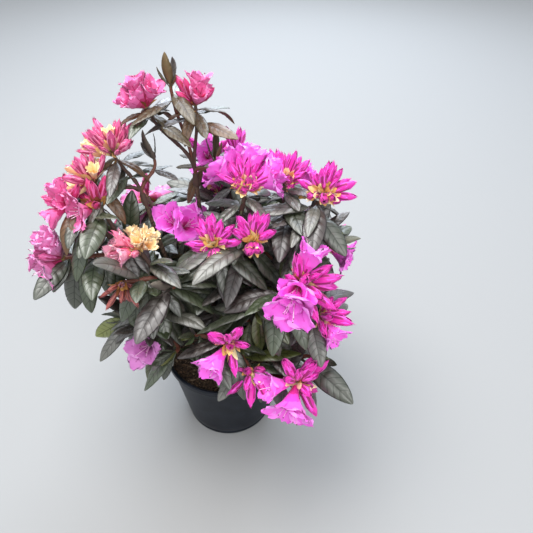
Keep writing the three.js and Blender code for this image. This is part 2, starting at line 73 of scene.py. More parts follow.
# The source's named sizes
GAP = 0.3
POT = Named(rim=75, base=57, height=120, wall=1.8, floor=2.4, lip_height=9, lip_depth=2.2)
DRAIN = Named(holes=6, radius=4.5, circle=34)
MIX_TOP = POT.height - 11
TRUNK = Named(
    foot=(-130, 8, MIX_TOP + GAP), fork=(168, 10, 162), foot_radius=9, fork_radius=6.4,
    flare_radius=7, flare_height=8, flare_lobes=5, lobe_depth=0.4, sides=15, steps=8,
)
LIMB = Named(tip_share=0.68, sides=6, steps=6, pull=0.38)
TWIG = Named(stem=12, fork_radius=2.5, tip_radius=2.1, sides=3, steps=3, pull=0.42)
LEAF = Named(
    length=60, length_spread=0.28, width=0.42, widest=0.46, fold=0.035, sag=0.2, root_depth=0.8,
    root_share=0.3, first_at=6, last_share=0.1, spacing=3.4, near_tilt=66, far_tilt=108, tilt_spread=26,
    turn_spread=0.8, droop=0.2, droop_spread=0.5, lean=0.6, tries=16, hang=66, lowest=POT.height + 4,
)
FLOWER = Named(length=31, lobe=21, notch=12.5, notch_back=5, throat=0.42, lobes=5)
BUD = Named(length=29, radius=5, widest=0.64, throat=1)
KNOB = Named(radius=3.4, seat=0.8)
FAN_START = 0.3
SIZE_SPREAD = 0.2

# What a shoot's tip bears: flowers, buds, the angle that they fan out to, and their size
Bloom = namedtuple("Bloom", "flowers buds fan size")
BLOOMS = {
    "full": Bloom(5, 2, 88, 1.04),
    "open": Bloom(4, 0, 80, 1),
    "half": Bloom(4, 0, 58, 0.82),
    "pair": Bloom(2, 1, 62, 1),
    "bud": Bloom(1, 5, 70, 0.96),
    "faded": Bloom(2, 3, 80, 0.88),
    "none": Bloom(0, 1, 0, 1),
}

# A limb starts at a share of its parent's length and ends at its tip, with a slope at each end
Limb = namedtuple("Limb", "name parent at radius tip slopes")
LIMBS = [
    Limb("bough_centre", "trunk", 0.97, 4.6, (-12, 13, 242), (62, 84)),
    Limb("bough_top", "trunk", 0.88, 4.8, (113, 62, 316), (48, 82)),
    Limb("bough_upper_left", "trunk", 0.76, 4.6, (157, 82, 308), (34, 80)),
    Limb("bough_right", "trunk", 0.72, 4.4, (7, 68, 260), (36, 68)),
    Limb("bough_back", "trunk", 0.6, 4.2, (86, 66, 234), (30, 74)),
    Limb("bough_left", "trunk", 0.54, 4.4, (180, 88, 238), (26, 68)),
    Limb("bough_front_right", "trunk", 0.48, 4.2, (-38, 60, 216), (34, 66)),
    Limb("bough_front", "trunk", 0.36, 3.8, (-84, 46, 174), (30, 50)),
    Limb("bough_low_left", "trunk", 0.3, 3.8, (-164, 60, 160), (28, 42)),
    Limb("branch_low_right", "bough_front_right", 0.3, 3.2, (-54, 86, 160), (16, 14)),
    Limb("branch_left_front", "bough_left", 0.42, 3.2, (-158, 62, 240), (50, 74)),
    Limb("branch_back_right", "bough_right", 0.36, 3.2, (44, 84, 216), (24, 58)),
    Limb("branch_back_left", "bough_upper_left", 0.3, 3.2, (134, 92, 214), (26, 56)),
]
OPEN_LIMBS = ("bough_top", "bough_upper_left")

# A mass's leaf colours, its share of young leaves, and its shoots, each with its tip, its slope there, its
# bloom, its count of leaves, and for a truss its hue and habit
Mass = namedtuple("Mass", "name limb foliage young shoots")
Shoot = namedtuple("Shoot", "tip slope bloom leaves hue habit", defaults=("", "sprout"))
MASSES = [
    Mass("foliage_top", "bough_top", "bronze", 0.9, [
        Shoot((121, 78, 419), 84, "none", 4),
        Shoot((137, 89, 401), 60, "half", 9, "rose", "frilled"),
        Shoot((106, 64, 403), 78, "half", 9, "rose", "frilled"),
        Shoot((99, 90, 330), 40, "pair", 9, "magenta", "loose"),
        Shoot((92, 46, 351), 60, "none", 9),
    ]),
    Mass("foliage_upper_left", "bough_upper_left", "violet", 0.25, [
        Shoot((158, 108, 361), 66, "faded", 9, "salmon", "faded"),
        Shoot((169, 122, 338), 46, "faded", 9, "salmon", "faded"),
        Shoot((141, 82, 350), 74, "none", 9),
    ]),
    Mass("foliage_left", "bough_left", "grey", 0.7, [
        Shoot((176, 116, 320), 60, "open", 10, "rose", "mixed"),
        Shoot((177, 142, 326), 48, "faded", 8, "rose", "frilled"),
        Shoot((181, 162, 264), 2, "open", 12, "pink", "wide"),
        Shoot((162, 112, 266), 30, "none", 11),
    ]),
    Mass("foliage_left_front", "branch_left_front", "grey", 0.8, [
        Shoot((-169, 79, 284), 66, "faded", 11, "gold", "gold"),
        Shoot((-158, 100, 262), 20, "none", 11, "old", "old"),
        Shoot((-134, 62, 262), 40, "none", 9),
    ]),
    Mass("foliage_centre", "bough_centre", "violet", 0.9, [
        Shoot((24, 34, 340), 78, "full", 12, "magenta", "crown"),
        Shoot((-92, 20, 296), 62, "bud", 11, "magenta", "spray"),
        Shoot((-30, 44, 302), 62, "bud", 10, "magenta", "spray"),
        Shoot((135, 66, 264), 56, "pair", 11, "magenta", "open"),
    ]),
    Mass("foliage_right", "bough_right", "violet", 0.7, [
        Shoot((5, 107, 335), 64, "bud", 11, "magenta", "spray"),
        Shoot((29, 80, 329), 76, "bud", 9, "magenta", "fan"),
        Shoot((-3, 116, 284), 16, "none", 10),
    ]),
    Mass("foliage_front_right", "bough_front_right", "green", 0.9, [
        Shoot((-33, 99, 276), 46, "full", 11, "magenta", "mixed"),
        Shoot((-30, 120, 236), 10, "pair", 9, "magenta", "mixed"),
        Shoot((-58, 78, 250), 30, "none", 10),
    ]),
    Mass("foliage_front", "bough_front", "green", 0.6, [
        Shoot((-80, 80, 218), 16, "pair", 9, "magenta", "hanging"),
        Shoot((-68, 92, 180), 0, "bud", 8, "magenta", "loose"),
        Shoot((-112, 66, 208), 40, "none", 10),
    ]),
    Mass("foliage_low_right", "branch_low_right", "green", 0.7, [
        Shoot((-49, 126, 174), 22, "full", 12, "magenta", "hanging"),
        Shoot((-34, 118, 178), 14, "none", 9),
    ]),
    Mass("foliage_low_left", "bough_low_left", "green", 0.6, [
        Shoot((-163, 84, 152), -4, "pair", 8, "pale", "single"),
        Shoot((-178, 112, 170), 10, "none", 10),
        Shoot((-134, 72, 168), 10, "none", 9),
        Shoot((-172, 90, 206), 40, "none", 10),
    ]),
    Mass("foliage_back", "bough_back", "violet", 0.8, [
        Shoot((81, 108, 324), 64, "bud", 10, "magenta", "loose"),
        Shoot((94, 118, 266), 38, "open", 11, "magenta", "mixed"),
        Shoot((76, 110, 214), 12, "none", 10),
    ]),
    Mass("foliage_back_right", "branch_back_right", "grey", 0.8, [
        Shoot((46, 120, 282), 54, "open", 11, "magenta", "crown"),
        Shoot((24, 132, 232), 24, "bud", 10, "magenta", "mixed"),
        Shoot((52, 128, 200), 6, "none", 10),
    ]),
    Mass("foliage_back_left", "branch_back_left", "grey", 0.8, [
        Shoot((134, 130, 276), 48, "open", 11, "pink", "loose"),
        Shoot((154, 136, 228), 20, "bud", 10, "rose", "fan"),
        Shoot((118, 128, 202), 8, "none", 10),
    ]),
]
MASS_NAMES = [mass.name for mass in MASSES]

# Side twigs: finer growth along the limbs, which stops lower on the open ones
SIDE = Named(first=0.3, last=0.95, open_last=0.55, gap=13, length=30, leaves=6, radius=1.4, leaf_scale=0.8)


# The source's growth rule


def chance(*keys):
    """A repeatable number from 0 to 1 for a set of keys."""
    mixed = 1.37
    for index, key in enumerate(keys):
        mixed += key * (12.9898 + 65.233 * index)
    wave = math.sin(mixed) * 43758.5453
    return wave - math.floor(wave)


def lerp(a, b, share):
    return a + (b - a) * share


def unit(vectors):
    return vectors / np.linalg.norm(vectors, axis=-1, keepdims=True)


def point_at(place):
    azimuth, reach, height = place
    turn = math.radians(azimuth)
    return np.array([reach * math.cos(turn), reach * math.sin(turn), height])


def sloped(outward, slope):
    angle = math.radians(slope)
    return outward * math.cos(angle) + UP * math.sin(angle)


def across(axis):
    """Two directions square to an axis and to each other."""
    helper = UP if abs(axis[2]) < 0.9 else np.array([1.0, 0.0, 0.0])
    first = unit(np.cross(helper, axis))
    return first, np.cross(axis, first)


def spoke(axis, turn):
    """A direction square to an axis."""
    first, second = across(axis)
    return first * math.cos(turn) + second * math.sin(turn)


def toward(axis, tilt, turn):
    """A direction at an angle from an axis."""
    return axis * math.cos(tilt) + spoke(axis, turn) * math.sin(tilt)


def point_round(base, axis, along, radius, turn):
    return base + axis * along + spoke(axis, turn) * radius


def turns_round(sides):
    return np.arange(sides) / sides * TURN


def taper(start, end, slim=1):
    """A radius that changes evenly along a limb."""
    return lambda share, turn: slim * lerp(start, end, share)


class Curve:
    """A cubic curve that is read evenly along its length."""

    def __init__(self, *corners):
        self.corners = np.array(corners, float)
        self.times = np.linspace(0, 1, 201)
        steps = np.linalg.norm(np.diff(self.at(self.times), axis=0), axis=1)
        self.lengths = np.concatenate([[0], np.cumsum(steps)])
        self.length = self.lengths[-1]

    @classmethod
    def straight(cls, start, end):
        return cls(start, lerp(start, end, 1 / 3), lerp(start, end, 2 / 3), end)

    def at(self, time):
        return cubic(self.corners, np.asarray(time, float)[..., None])

    def time(self, share):
        return float(np.interp(share * self.length, self.lengths, self.times))

    def point(self, share):
        return self.at(self.time(share))

    def tangent(self, share):
        time = self.time(share)
        return unit(self.at(min(time + 1e-4, 1)) - self.at(max(time - 1e-4, 0)))


def cubic(corners, t):
    a, b, c, d = corners
    return (1 - t) ** 3 * a + 3 * (1 - t) ** 2 * t * b + 3 * (1 - t) * t**2 * c + t**3 * d


def rings_along(curve, steps, sides, radius_at):
    """Rings along a curve, each square to it and not twisted against the one before."""
    first = across(curve.tangent(0))[0]
    turns = turns_round(sides)
    rings = []
    for share in np.arange(steps + 1) / steps:
        tangent = curve.tangent(share)
        first = unit(first - tangent * (first @ tangent))
        second = np.cross(tangent, first)
        radii = np.array([radius_at(share, turn) for turn in turns])[:, None]
        spokes = np.cos(turns)[:, None] * first + np.sin(turns)[:, None] * second
        rings.append(curve.point(share) + radii * spokes)
    return np.array(rings)


@lru_cache(maxsize=None)
def loft_faces(sides):
    """The faces of one closed length between two rings."""
    faces = []
    for a in range(sides):
        b = (a + 1) % sides
        faces += [(a, b, b + sides), (a, b + sides, a + sides)]
    for side in range(1, sides - 1):
        faces += [(0, side + 1, side), (sides, sides + side, sides + side + 1)]
    return tuple(faces)


@lru_cache(maxsize=None)
def fan_faces(count):
    """The faces from a back point and a front point to a ring."""
    faces = []
    for index in range(count):
        a, b = 2 + index, 2 + (index + 1) % count
        faces += [(0, b, a), (1, a, b)]
    return tuple(faces)


@lru_cache(maxsize=None)
def edges_of(faces):
    pairs = [(face[i], face[(i + 1) % 3]) for face in faces for i in range(3)]
    return np.array([pair for pair in pairs if pair[0] < pair[1]])


class Piece:
    """A convex piece of the solids, with what a test of separation needs."""

    def __init__(self, points, faces, truss=None):
        self.points = np.array(points, float)
        corners = self.points[np.array(faces)]
        self.normals = unit(np.cross(corners[:, 1] - corners[:, 0], corners[:, 2] - corners[:, 0]))
        pairs = edges_of(faces)
        self.edges = self.points[pairs[:, 1]] - self.points[pairs[:, 0]]
        self.low, self.high = self.points.min(axis=0) - GAP, self.points.max(axis=0) + GAP
        self.truss = truss

    def beyond_root(self):
        outer = copy(self)
        outer.points = self.points.copy()
        outer.points[0] = lerp(self.points[0], self.points[1], LEAF.root_share)
        return outer


def separates(axes, a, b):
    from_a, from_b = axes @ a.points.T, axes @ b.points.T
    above = from_a.min(axis=1) > from_b.max(axis=1) + GAP
    below = from_b.min(axis=1) > from_a.max(axis=1) + GAP
    return bool((above | below).any())


def is_apart(a, b):
    if separates(np.concatenate([a.normals, b.normals]), a, b):
        return True
    axes = np.cross(a.edges[:, None], b.edges[None]).reshape(-1, 3)
    sizes = (axes**2).sum(axis=1)
    wide = sizes > 1e-3
    return separates(axes[wide] / np.sqrt(sizes[wide])[:, None], a, b)


class Crown:
    """What each mass and the limbs hold so far, and the test that a new piece has room."""

    def __init__(self):
        self.pieces, self.outers, self.owners = [], [], []
        self.lows, self.highs = np.empty((0, 3)), np.empty((0, 3))

    def hold(self, owner, piece, outer=None):
        self.pieces.append(piece)
        self.outers.append(outer or piece)
        self.owners.append(owner)
        self.lows = np.vstack([self.lows, piece.low])
        self.highs = np.vstack([self.highs, piece.high])

    def has_room(self, piece, outer, mass, lowest):
        if piece.points[:, 2].min() < lowest:
            return False
        near = ((self.lows <= piece.high) & (self.highs >= piece.low)).all(axis=1)
        for index in np.flatnonzero(near):
            if self.owners[index] != mass:
                if not is_apart(self.pieces[index], piece):
                    return False
            elif not (piece.truss and piece.truss is self.pieces[index].truss):
                if not is_apart(self.outers[index], outer):
                    return False
        return True

    def keep_first(self, versions, mass, lowest):
        """Keeps the first of some versions that has room, and gives what it stands for."""
        for piece, form in versions:
            outer = piece.beyond_root()
            if self.has_room(piece, outer, mass, lowest):
                self.hold(mass, piece, outer)
                return form
        return None

    def hold_lengths(self, owner, rings):
        for start, end in zip(rings[:-1], rings[1:]):
            self.hold(owner, Piece(np.concatenate([start, end]), loft_faces(len(start))))


def trunk_radius(share, turn):
    rise = TRUNK.fork[2] - TRUNK.foot[2]
    flare = TRUNK.flare_radius * math.exp(-share * rise / TRUNK.flare_height)
    lobe = 1 - TRUNK.lobe_depth + TRUNK.lobe_depth * math.cos(TRUNK.flare_lobes * turn)
    return lerp(TRUNK.foot_radius, TRUNK.fork_radius, share) + flare * lobe


def limb_radius(limb, share):
    return limb.radius * lerp(1, LIMB.tip_share, share)


def limb_curves():
    curves = {"trunk": Curve.straight(point_at(TRUNK.foot), point_at(TRUNK.fork))}
    for limb in LIMBS:
        start, end = curves[limb.parent].point(limb.at), point_at(limb.tip)
        span = np.linalg.norm(start - end) * LIMB.pull
        outward = unit((end - start) * [1, 1, 0])
        leave, arrive = (sloped(outward, slope) * span for slope in limb.slopes)
        curves[limb.name] = Curve(start, start + leave, end - arrive, end)
    return curves


def hold_limbs(crown, curves):
    rings = rings_along(curves["trunk"], TRUNK.steps, TRUNK.sides, trunk_radius)
    rings[0, :, 2] = TRUNK.foot[2]
    crown.hold_lengths("limbs", rings)
    for limb in LIMBS:
        curve = curves[limb.name]
        rings = rings_along(curve, LIMB.steps, LIMB.sides, lambda share, turn: limb_radius(limb, share))
        crown.hold_lengths("limbs", rings)


# A shoot as it grows: its twig's curve, the axis of its tip, its mass's number and its seed
Growing = namedtuple("Growing", "shoot curve axis mass key")


def grow_twigs(crown, curves):
    """Each mass's stem with its radii, and the shoots that fork from it."""
    stems, shoots = [], []
    for number, mass in enumerate(MASSES):
        limb = next(limb for limb in LIMBS if limb.name == mass.limb)
        axis = curves[limb.name].tangent(1)
        root = curves[limb.name].point(1) + axis * GAP
        fork = root + axis * TWIG.stem
        stem = Curve.straight(root, fork + axis * TWIG.fork_radius / 2)
        radii = (limb.radius * LIMB.tip_share, TWIG.fork_radius)
        crown.hold_lengths(number, rings_along(stem, 1, TWIG.sides, taper(*radii)))
        stems.append((stem, radii))
        for index, shoot in enumerate(mass.shoots):
            tip = point_at(shoot.tip)
            span = np.linalg.norm(fork - tip) * TWIG.pull
            tip_axis = sloped(unit(tip * [1, 1, 0]), shoot.slope)
            curve = Curve(fork, fork + axis * span, tip - tip_axis * span, tip)
            narrowing = taper(TWIG.fork_radius, TWIG.tip_radius)
            crown.hold_lengths(number, rings_along(curve, TWIG.steps, TWIG.sides, narrowing))
            shoots.append(Growing(shoot, curve, tip_axis, number, number * 10 + index))
    return stems, shoots


Blossom = namedtuple("Blossom", "kind base axis turn size growing index")


def blossom_piece(blossom):
    """A flower or bud of the solids: a ring of corners between a back point and a front point."""
    base, axis, size = blossom.base, blossom.axis, blossom.size
    if blossom.kind == "flower":
        form = FLOWER
        notch = (size * (FLOWER.length - FLOWER.notch_back), size * FLOWER.notch)
        corners = [(size * FLOWER.length, size * FLOWER.lobe), notch] * FLOWER.lobes
    else:
        form = BUD
        corners = [(size * BUD.length * BUD.widest, BUD.radius)] * 4
    ring = [
        point_round(base, axis, along, radius, blossom.turn + index / len(corners) * TURN)
        for index, (along, radius) in enumerate(corners)
    ]
    ends = [base - axis * KNOB.radius / 2, base + axis * size * form.length * form.throat]
    return Piece([*ends, *ring], fan_faces(len(ring)), blossom.growing.key + 1)


def grow_truss(crown, growing):
    """The flowers and buds of a shoot's tip that have room, with a bud where a flower has none."""
    bloom, key = BLOOMS[growing.shoot.bloom], growing.key
    count = bloom.flowers + bloom.buds
    cap = 1 - math.cos(math.radians(bloom.fan))
    kept = []
    for index in range(count):
        tilt = math.acos(1 - cap * (index + FAN_START) / count)
        outward = toward(growing.axis, tilt, index * GOLDEN_ANGLE + key)
        size = bloom.size * (1 + SIZE_SPREAD * (chance(key, index, 5) - 0.5))
        opens = (index + 1) * bloom.flowers // count > index * bloom.flowers // count
        base = point_at(growing.shoot.tip) + outward * KNOB.radius * KNOB.seat
        forms = [
            Blossom(kind, base, outward, key + index, size, growing, index)
            for kind in (("flower", "bud") if opens else ("bud",))
        ]
        versions = ((blossom_piece(form), form) for form in forms)
        kept.append(crown.keep_first(versions, growing.mass, LEAF.lowest))
    return [form for form in kept if form]


Leaf = namedtuple("Leaf", "root direction normal length growing index key")


def on_twig(curve, share):
    """A point on the straight lengths that a solid twig is made of."""
    step = min(math.floor(share * TWIG.steps), TWIG.steps - 1)
    start, end = curve.point(step / TWIG.steps), curve.point((step + 1) / TWIG.steps)
    return lerp(start, end, share * TWIG.steps - step)


def leaf_at(growing, index, key, scale, shift):
    curve = growing.curve
    share = 1 - (LEAF.first_at + (index + shift) * LEAF.spacing) / curve.length
    tangent = curve.tangent(share)
    radial = spoke(tangent, index * GOLDEN_ANGLE + LEAF.turn_spread * chance(key, index, 1))
    tilt = lerp(LEAF.near_tilt, LEAF.far_tilt, index / growing.shoot.leaves)
    tilt = math.radians(tilt + LEAF.tilt_spread * (chance(key, index, 2) - 0.5))
    drop = LEAF.droop + LEAF.droop_spread * chance(key, index, 3)
    direction = unit(tangent * math.cos(tilt) + radial * math.sin(tilt) - UP * drop)
    normal = UP + radial * LEAF.lean
    normal = unit(normal - direction * (normal @ direction))
    length = scale * LEAF.length * (1 + LEAF.length_spread * (chance(key, index, 4) - 0.5))
    return Leaf(on_twig(curve, share), direction, normal, length, growing, index, key)


def leaf_piece(leaf, slim):
    root, direction, normal, length = leaf[:4]
    half = np.cross(direction, normal) * slim * LEAF.width * length / 2

    def on_midrib(share, lift):
        return root + direction * share * length + normal * (lift - LEAF.sag * length * share**2)

    middle = on_midrib(LEAF.widest, 0)
    fold = on_midrib(LEAF.widest, -LEAF.fold * length)
    points = [root - direction * LEAF.root_depth, on_midrib(1, 0), middle + half, fold, middle - half]
    return Piece(points, fan_faces(3))


def grow_leaves(crown, growing, scale=1.0, shift=0.0, slim=1.0):
    """The leaves along a shoot's twig that have room, each after as many tries as it needs."""
    shoot, length = growing.shoot, growing.curve.length
    lowest = max(LEAF.lowest, shoot.tip[2] - LEAF.hang)
    leafy = (1 - LEAF.last_share) * length - LEAF.first_at
    kept = []
    for index in range(min(shoot.leaves, math.floor(leafy / LEAF.spacing))):
        keys = (growing.key + trial / LEAF.tries for trial in range(LEAF.tries))
        forms = (leaf_at(growing, index, key, scale, shift) for key in keys)
        versions = ((leaf_piece(form, slim), form) for form in forms)
        kept.append(crown.keep_first(versions, growing.mass, lowest))
    return [leaf for leaf in kept if leaf]


def side_shoots(curves):
    """Short leafy twigs that leave the limbs at the golden angle to each other."""
    shoots = []
    for number, limb in enumerate(LIMBS):
        curve = curves[limb.name]
        mass = next(index for index, mass in enumerate(MASSES) if mass.limb == limb.name)
        reach = SIDE.open_last if limb.name in OPEN_LIMBS else SIDE.last
        count = round((reach - SIDE.first) * curve.length / SIDE.gap)
        for index in range(count):
            share = lerp(SIDE.first, reach, (index + 0.5) / count)
            outward = toward(curve.tangent(share), math.radians(70), index * GOLDEN_ANGLE + number)
            axis = unit(outward + UP * 0.5)
            root = curve.point(share)
            tip = root + axis * SIDE.length + outward * 6
            path = Curve(root, root + outward * 8, tip - axis * 10, tip)
            shoot = Shoot((0, 0, tip[2]), 40, "none", SIDE.leaves)
            shoots.append(Growing(shoot, path, axis, mass, 200 + number * 10 + index))
    return shoots


# Materials


def linear(colour, dim=1):
    """A colour of three eight-bit values as a linear one, with its opacity."""
    return (*(dim * (value / 255) ** 2.2 for value in colour), 1)


def shader(name, colour, roughness, dim=1, **sockets):
    material = bpy.data.materials.new(name)
    material.use_nodes = True
    node = material.node_tree.nodes["Principled BSDF"]
    node.inputs["Base Color"].default_value = linear(colour, dim)
    node.inputs["Roughness"].default_value = roughness
    for socket, value in sockets.items():
        node.inputs[socket.replace("_", " ")].default_value = value
    material.diffuse_color = linear(colour, dim)
    return material


def patterned(name, dark, light, scale, roughness, bump, **sockets):
    """A material with a fine speckle of two colours and a grain that stands out by a bump in metres."""
    material = shader(name, dark, roughness, **sockets)
    nodes, link = material.node_tree.nodes, material.node_tree.links.new
    principled, place = nodes["Principled BSDF"], nodes.new("ShaderNodeTexCoord")
    coarse, fine = nodes.new("ShaderNodeTexNoise"), nodes.new("ShaderNodeTexNoise")
    for node, size, detail in ((coarse, scale, 6), (fine, scale * 3.7, 4)):
        node.inputs["Scale"].default_value = size
        node.inputs["Detail"].default_value = detail
        link(place.outputs["Object"], node.inputs["Vector"])
    ramp, relief = nodes.new("ShaderNodeValToRGB"), nodes.new("ShaderNodeBump")
    for stop, position, colour in zip(ramp.color_ramp.elements, (0.38, 0.68), (dark, light)):
        stop.position = position
        stop.color = linear(colour)
    relief.inputs["Distance"].default_value = bump
    link(coarse.outputs["Fac"], ramp.inputs["Fac"])
    link(ramp.outputs["Color"], principled.inputs["Base Color"])
    link(fine.outputs["Fac"], relief.inputs["Height"])
    link(relief.outputs["Normal"], principled.inputs["Normal"])
    return material


# Meshes


def placed(name, data):
    """A new object in the scene."""
    piece = bpy.data.objects.new(name, data)
    bpy.context.scene.collection.objects.link(piece)
    return piece


class Heap:
    """Many small forms that become one mesh, each face with its own material."""

    def __init__(self):
        self.points, self.corners, self.sizes, self.tints = [], [], [], []
        self.materials, self.count = [], 0

    def tint(self, material):
        if material not in self.materials:
            self.materials.append(material)
        return self.materials.index(material)

    def add(self, points, faces, tints):
        """Adds points and the faces between them."""
        points, start = np.asarray(points, float).reshape(-1, 3), self.count
        self.points.append(points)
        self.count += len(points)
        self.add_faces(np.asarray(faces) + start, tints)

    def add_faces(self, faces, tints):
        """Adds faces between points that are already there, with one tint or a tint each."""
        self.corners.append(faces.ravel())
        self.sizes.append(np.full(len(faces), faces.shape[1]))
        self.tints.append(np.broadcast_to(tints, len(faces)))

    def triangles(self):
        return int(sum((sizes - 2).sum() for sizes in self.sizes))

    def mesh(self, name, smooth=True):
        points = np.concatenate(self.points) * MM
        corners, sizes = np.concatenate(self.corners), np.concatenate(self.sizes)
        mesh = bpy.data.meshes.new(name)
        mesh.vertices.add(len(points))
        mesh.vertices.foreach_set("co", points.astype(np.float32).ravel())
        mesh.loops.add(len(corners))
        mesh.loops.foreach_set("vertex_index", corners.astype(np.int32))
        mesh.polygons.add(len(sizes))
        mesh.polygons.foreach_set("loop_start", (np.cumsum(sizes) - sizes).astype(np.int32))
        for material in self.materials:
            mesh.materials.append(material)
        mesh.polygons.foreach_set("material_index", np.concatenate(self.tints).astype(np.int32))
        mesh.polygons.foreach_set("use_smooth", np.full(len(sizes), smooth))
        mesh.update(calc_edges=True)
        mesh.validate()
        return mesh

    def build(self, name, slot, nodes, smooth=True):
        piece = placed(name, self.mesh(name, smooth))
        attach(piece, "root")
        if nodes:
            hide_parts(*nodes)
        return piece


@lru_cache(maxsize=None)
def grid_faces(rows, columns, closed=False):
    """The faces between the rows of a grid of points, which may close round into a tube."""
    faces = []
    for row in range(rows - 1):
        for column in range(columns if closed else columns - 1):
            a, b = row * columns + column, row * columns + (column + 1) % columns
            faces.append((a, b, b + columns, a + columns))
    return np.array(faces)


def add_tube(heap, rings, material):
    """A tube through rings, closed at its far end."""
    tint, end = heap.tint(material), rings[-1]
    heap.add(rings, grid_faces(len(rings), len(end), closed=True), tint)
    sides = [(side, (side + 1) % len(end), len(end)) for side in range(len(end))]
    heap.add(np.vstack([end, end.mean(axis=0)]), sides, tint)


# Leaves

VEINS = Named(count=6, first=0.17, step=0.12, half=0.007)
STALK_SHARE = 0.1
BLADE = Named(
    stalk=0.95, advance=0.15, cup=0.3, curl=0.46, wave=0.016, quilt=0.008, wrinkle=0.045, groove=0.25
)
LEAF_COLUMNS = np.array([-1, -0.9, -0.6, -0.3, -0.06, 0.06, 0.3, 0.6, 0.9, 1])
LEAF_RING = len(LEAF_COLUMNS) + 1


def leaf_rows():
    """Where the rows of a leaf lie along its midrib, their lift, and which strips are side veins."""
    rows, lifts, is_vein = [0, STALK_SHARE], [0, 0], [False, False]
    for vein in range(VEINS.count):
        middle = VEINS.first + vein * VEINS.step
        rows += [middle - VEINS.half, middle + VEINS.half, middle + VEINS.step / 2]
        lifts += [-1, -1, 1]
        is_vein += [True, False, False]
    return np.array([*rows, 0.97, 1]), np.array([*lifts, 0, 0]), np.array([*is_vein, False])


LEAF_ROWS, LEAF_LIFTS, SHADED_VEIN_STRIPS = leaf_rows()
WRINKLES = np.random.default_rng(7).uniform(-1, 1, (16, len(LEAF_ROWS), len(LEAF_COLUMNS)))


def blade_share(share):
    """How far along the blade a share of the leaf's length is."""
    return np.clip((share - STALK_SHARE) / (1 - STALK_SHARE), 0, 1)


def leaf_tints(heap, materials):
    """The tints of a leaf's faces: blade, veins, and an underside that the stalk shares. The darker vein tint
    on the side veins, the midrib and the margins is partly their own colour and partly painted shade in the
    grooves of the side veins and the midrib.
    """
    blade, vein, under = (heap.tint(material) for material in materials)
    tints = np.full((len(LEAF_ROWS) - 1, LEAF_RING), blade)
    # Painted shade in the side veins' grooves, along with their own darker colour
    tints[SHADED_VEIN_STRIPS, :] = vein
    # The same darker tint on the midrib, partly painted shade in its groove, and on the margins as their own
    # colour
    tints[:, [0, 4, 8]] = vein
    tints[:, -2:] = under
    tints[0, :] = under
    return tints.ravel()


def flat_leaf(length, seed, narrow):
    """A leaf's points along, aside of and above a straight midrib: cupped, waved at its edge and wrinkled."""
    rows, spread = LEAF_ROWS[:, None], np.abs(LEAF_COLUMNS)
    along = np.clip(rows + BLADE.advance * spread**1.2 * np.sin(math.pi * blade_share(rows)), 0, 1)
    outline = np.sin(math.pi * blade_share(along) ** 0.92) ** 0.6
    stalk = BLADE.stalk / length * np.clip(1 - (along - STALK_SHARE) * 8, 0.05, 1)
    half = length * np.maximum(outline * LEAF.width / 2 * narrow, stalk)
    wave = np.sin(TURN * (1.6 * along + chance(seed, 1)) + LEAF_COLUMNS) * spread**2
    bulge = np.sin(math.pi * rows)
    lift = half * (BLADE.cup * spread - BLADE.curl * spread**2.4)
    lift += BLADE.wave * length * wave * np.sin(math.pi * along)
    lift += LEAF_LIFTS[:, None] * BLADE.quilt * length * (1 - spread**3) * (spread > 0.1)
    lift += WRINKLES[int(chance(seed, 3) * len(WRINKLES))] * half.max() * BLADE.wrinkle * bulge
    lift[:, 4:6] -= BLADE.groove * bulge
    top = np.stack([along, LEAF_COLUMNS * half, lift], axis=2)
    under = np.stack([LEAF_ROWS, np.zeros_like(LEAF_ROWS), -lerp(1.1, 0.5, LEAF_ROWS)], axis=1)[:, None]
    return np.concatenate([top, under], axis=1)


def add_leaf(heap, leaf, materials, narrow, hook=0.0):
    """A leaf twisted about its midrib, which sags and hooks down towards its tip."""
    root, direction, normal, length = leaf[:4]
    seed = leaf.key + leaf.index
    share, aside, lift = np.split(flat_leaf(length, seed, narrow), 3, axis=2)
    twist = share * math.radians(50 * (chance(seed, 2) - 0.5))
    bend = LEAF.sag * share**2 + hook * share**4
    slope = 2 * LEAF.sag * share + 4 * hook * share**3
    side, above = np.cross(direction, normal), unit(normal + direction * slope)
    sideways = side * np.cos(twist) + above * np.sin(twist)
    upwards = above * np.cos(twist) - side * np.sin(twist)
    points = root + direction * share * length - normal * bend * length + sideways * aside + upwards * lift
    heap.add(points, grid_faces(len(LEAF_ROWS), LEAF_RING, closed=True), leaf_tints(heap, materials))


# Flowers

# A flower's form: its petals' centre line as distances from the axis and along it, and their width
Corolla = namedtuple("Corolla", "radii heights width ruffle twist stamens is_open")
COROLLAS = {
    "open": Corolla((1.6, 4.8, 10.5, 21.5), (0, 13, 26, 29), 15, 2.5, 0.12, 5, True),
    "half": Corolla((1.6, 4.4, 7.5, 15), (0, 12, 25, 33), 12, 2.0, 0.25, 3, True),
    "wide": Corolla((1.6, 4.6, 14, 25), (0, 12, 26, 24), 19, 2.9, 0.08, 5, True),
    "cup": Corolla((1.6, 6, 11, 12), (0, 10, 22, 31), 10.5, 2.3, 0.35, 0, True),
    "wither": Corolla((1.2, 3, 5.6, 8.5), (0, 10, 20, 26), 5.6, 1.5, 0.5, 0, True),
    "folded": Corolla((1.3, 4.2, 8.2, 0.4), (0, 10, 24, 35), 6.6, 0.6, 0.45, 0, False),
    "tube": Corolla((1.1, 2.6, 5.8, 0.4), (0, 11, 24, 34), 4.6, 0.4, 0.3, 0, False),
    "closed": Corolla((1.2, 6, 6.4, 0.5), (0, 4, 13, 18), 5.6, 0.3, 0.6, 0, False),
}

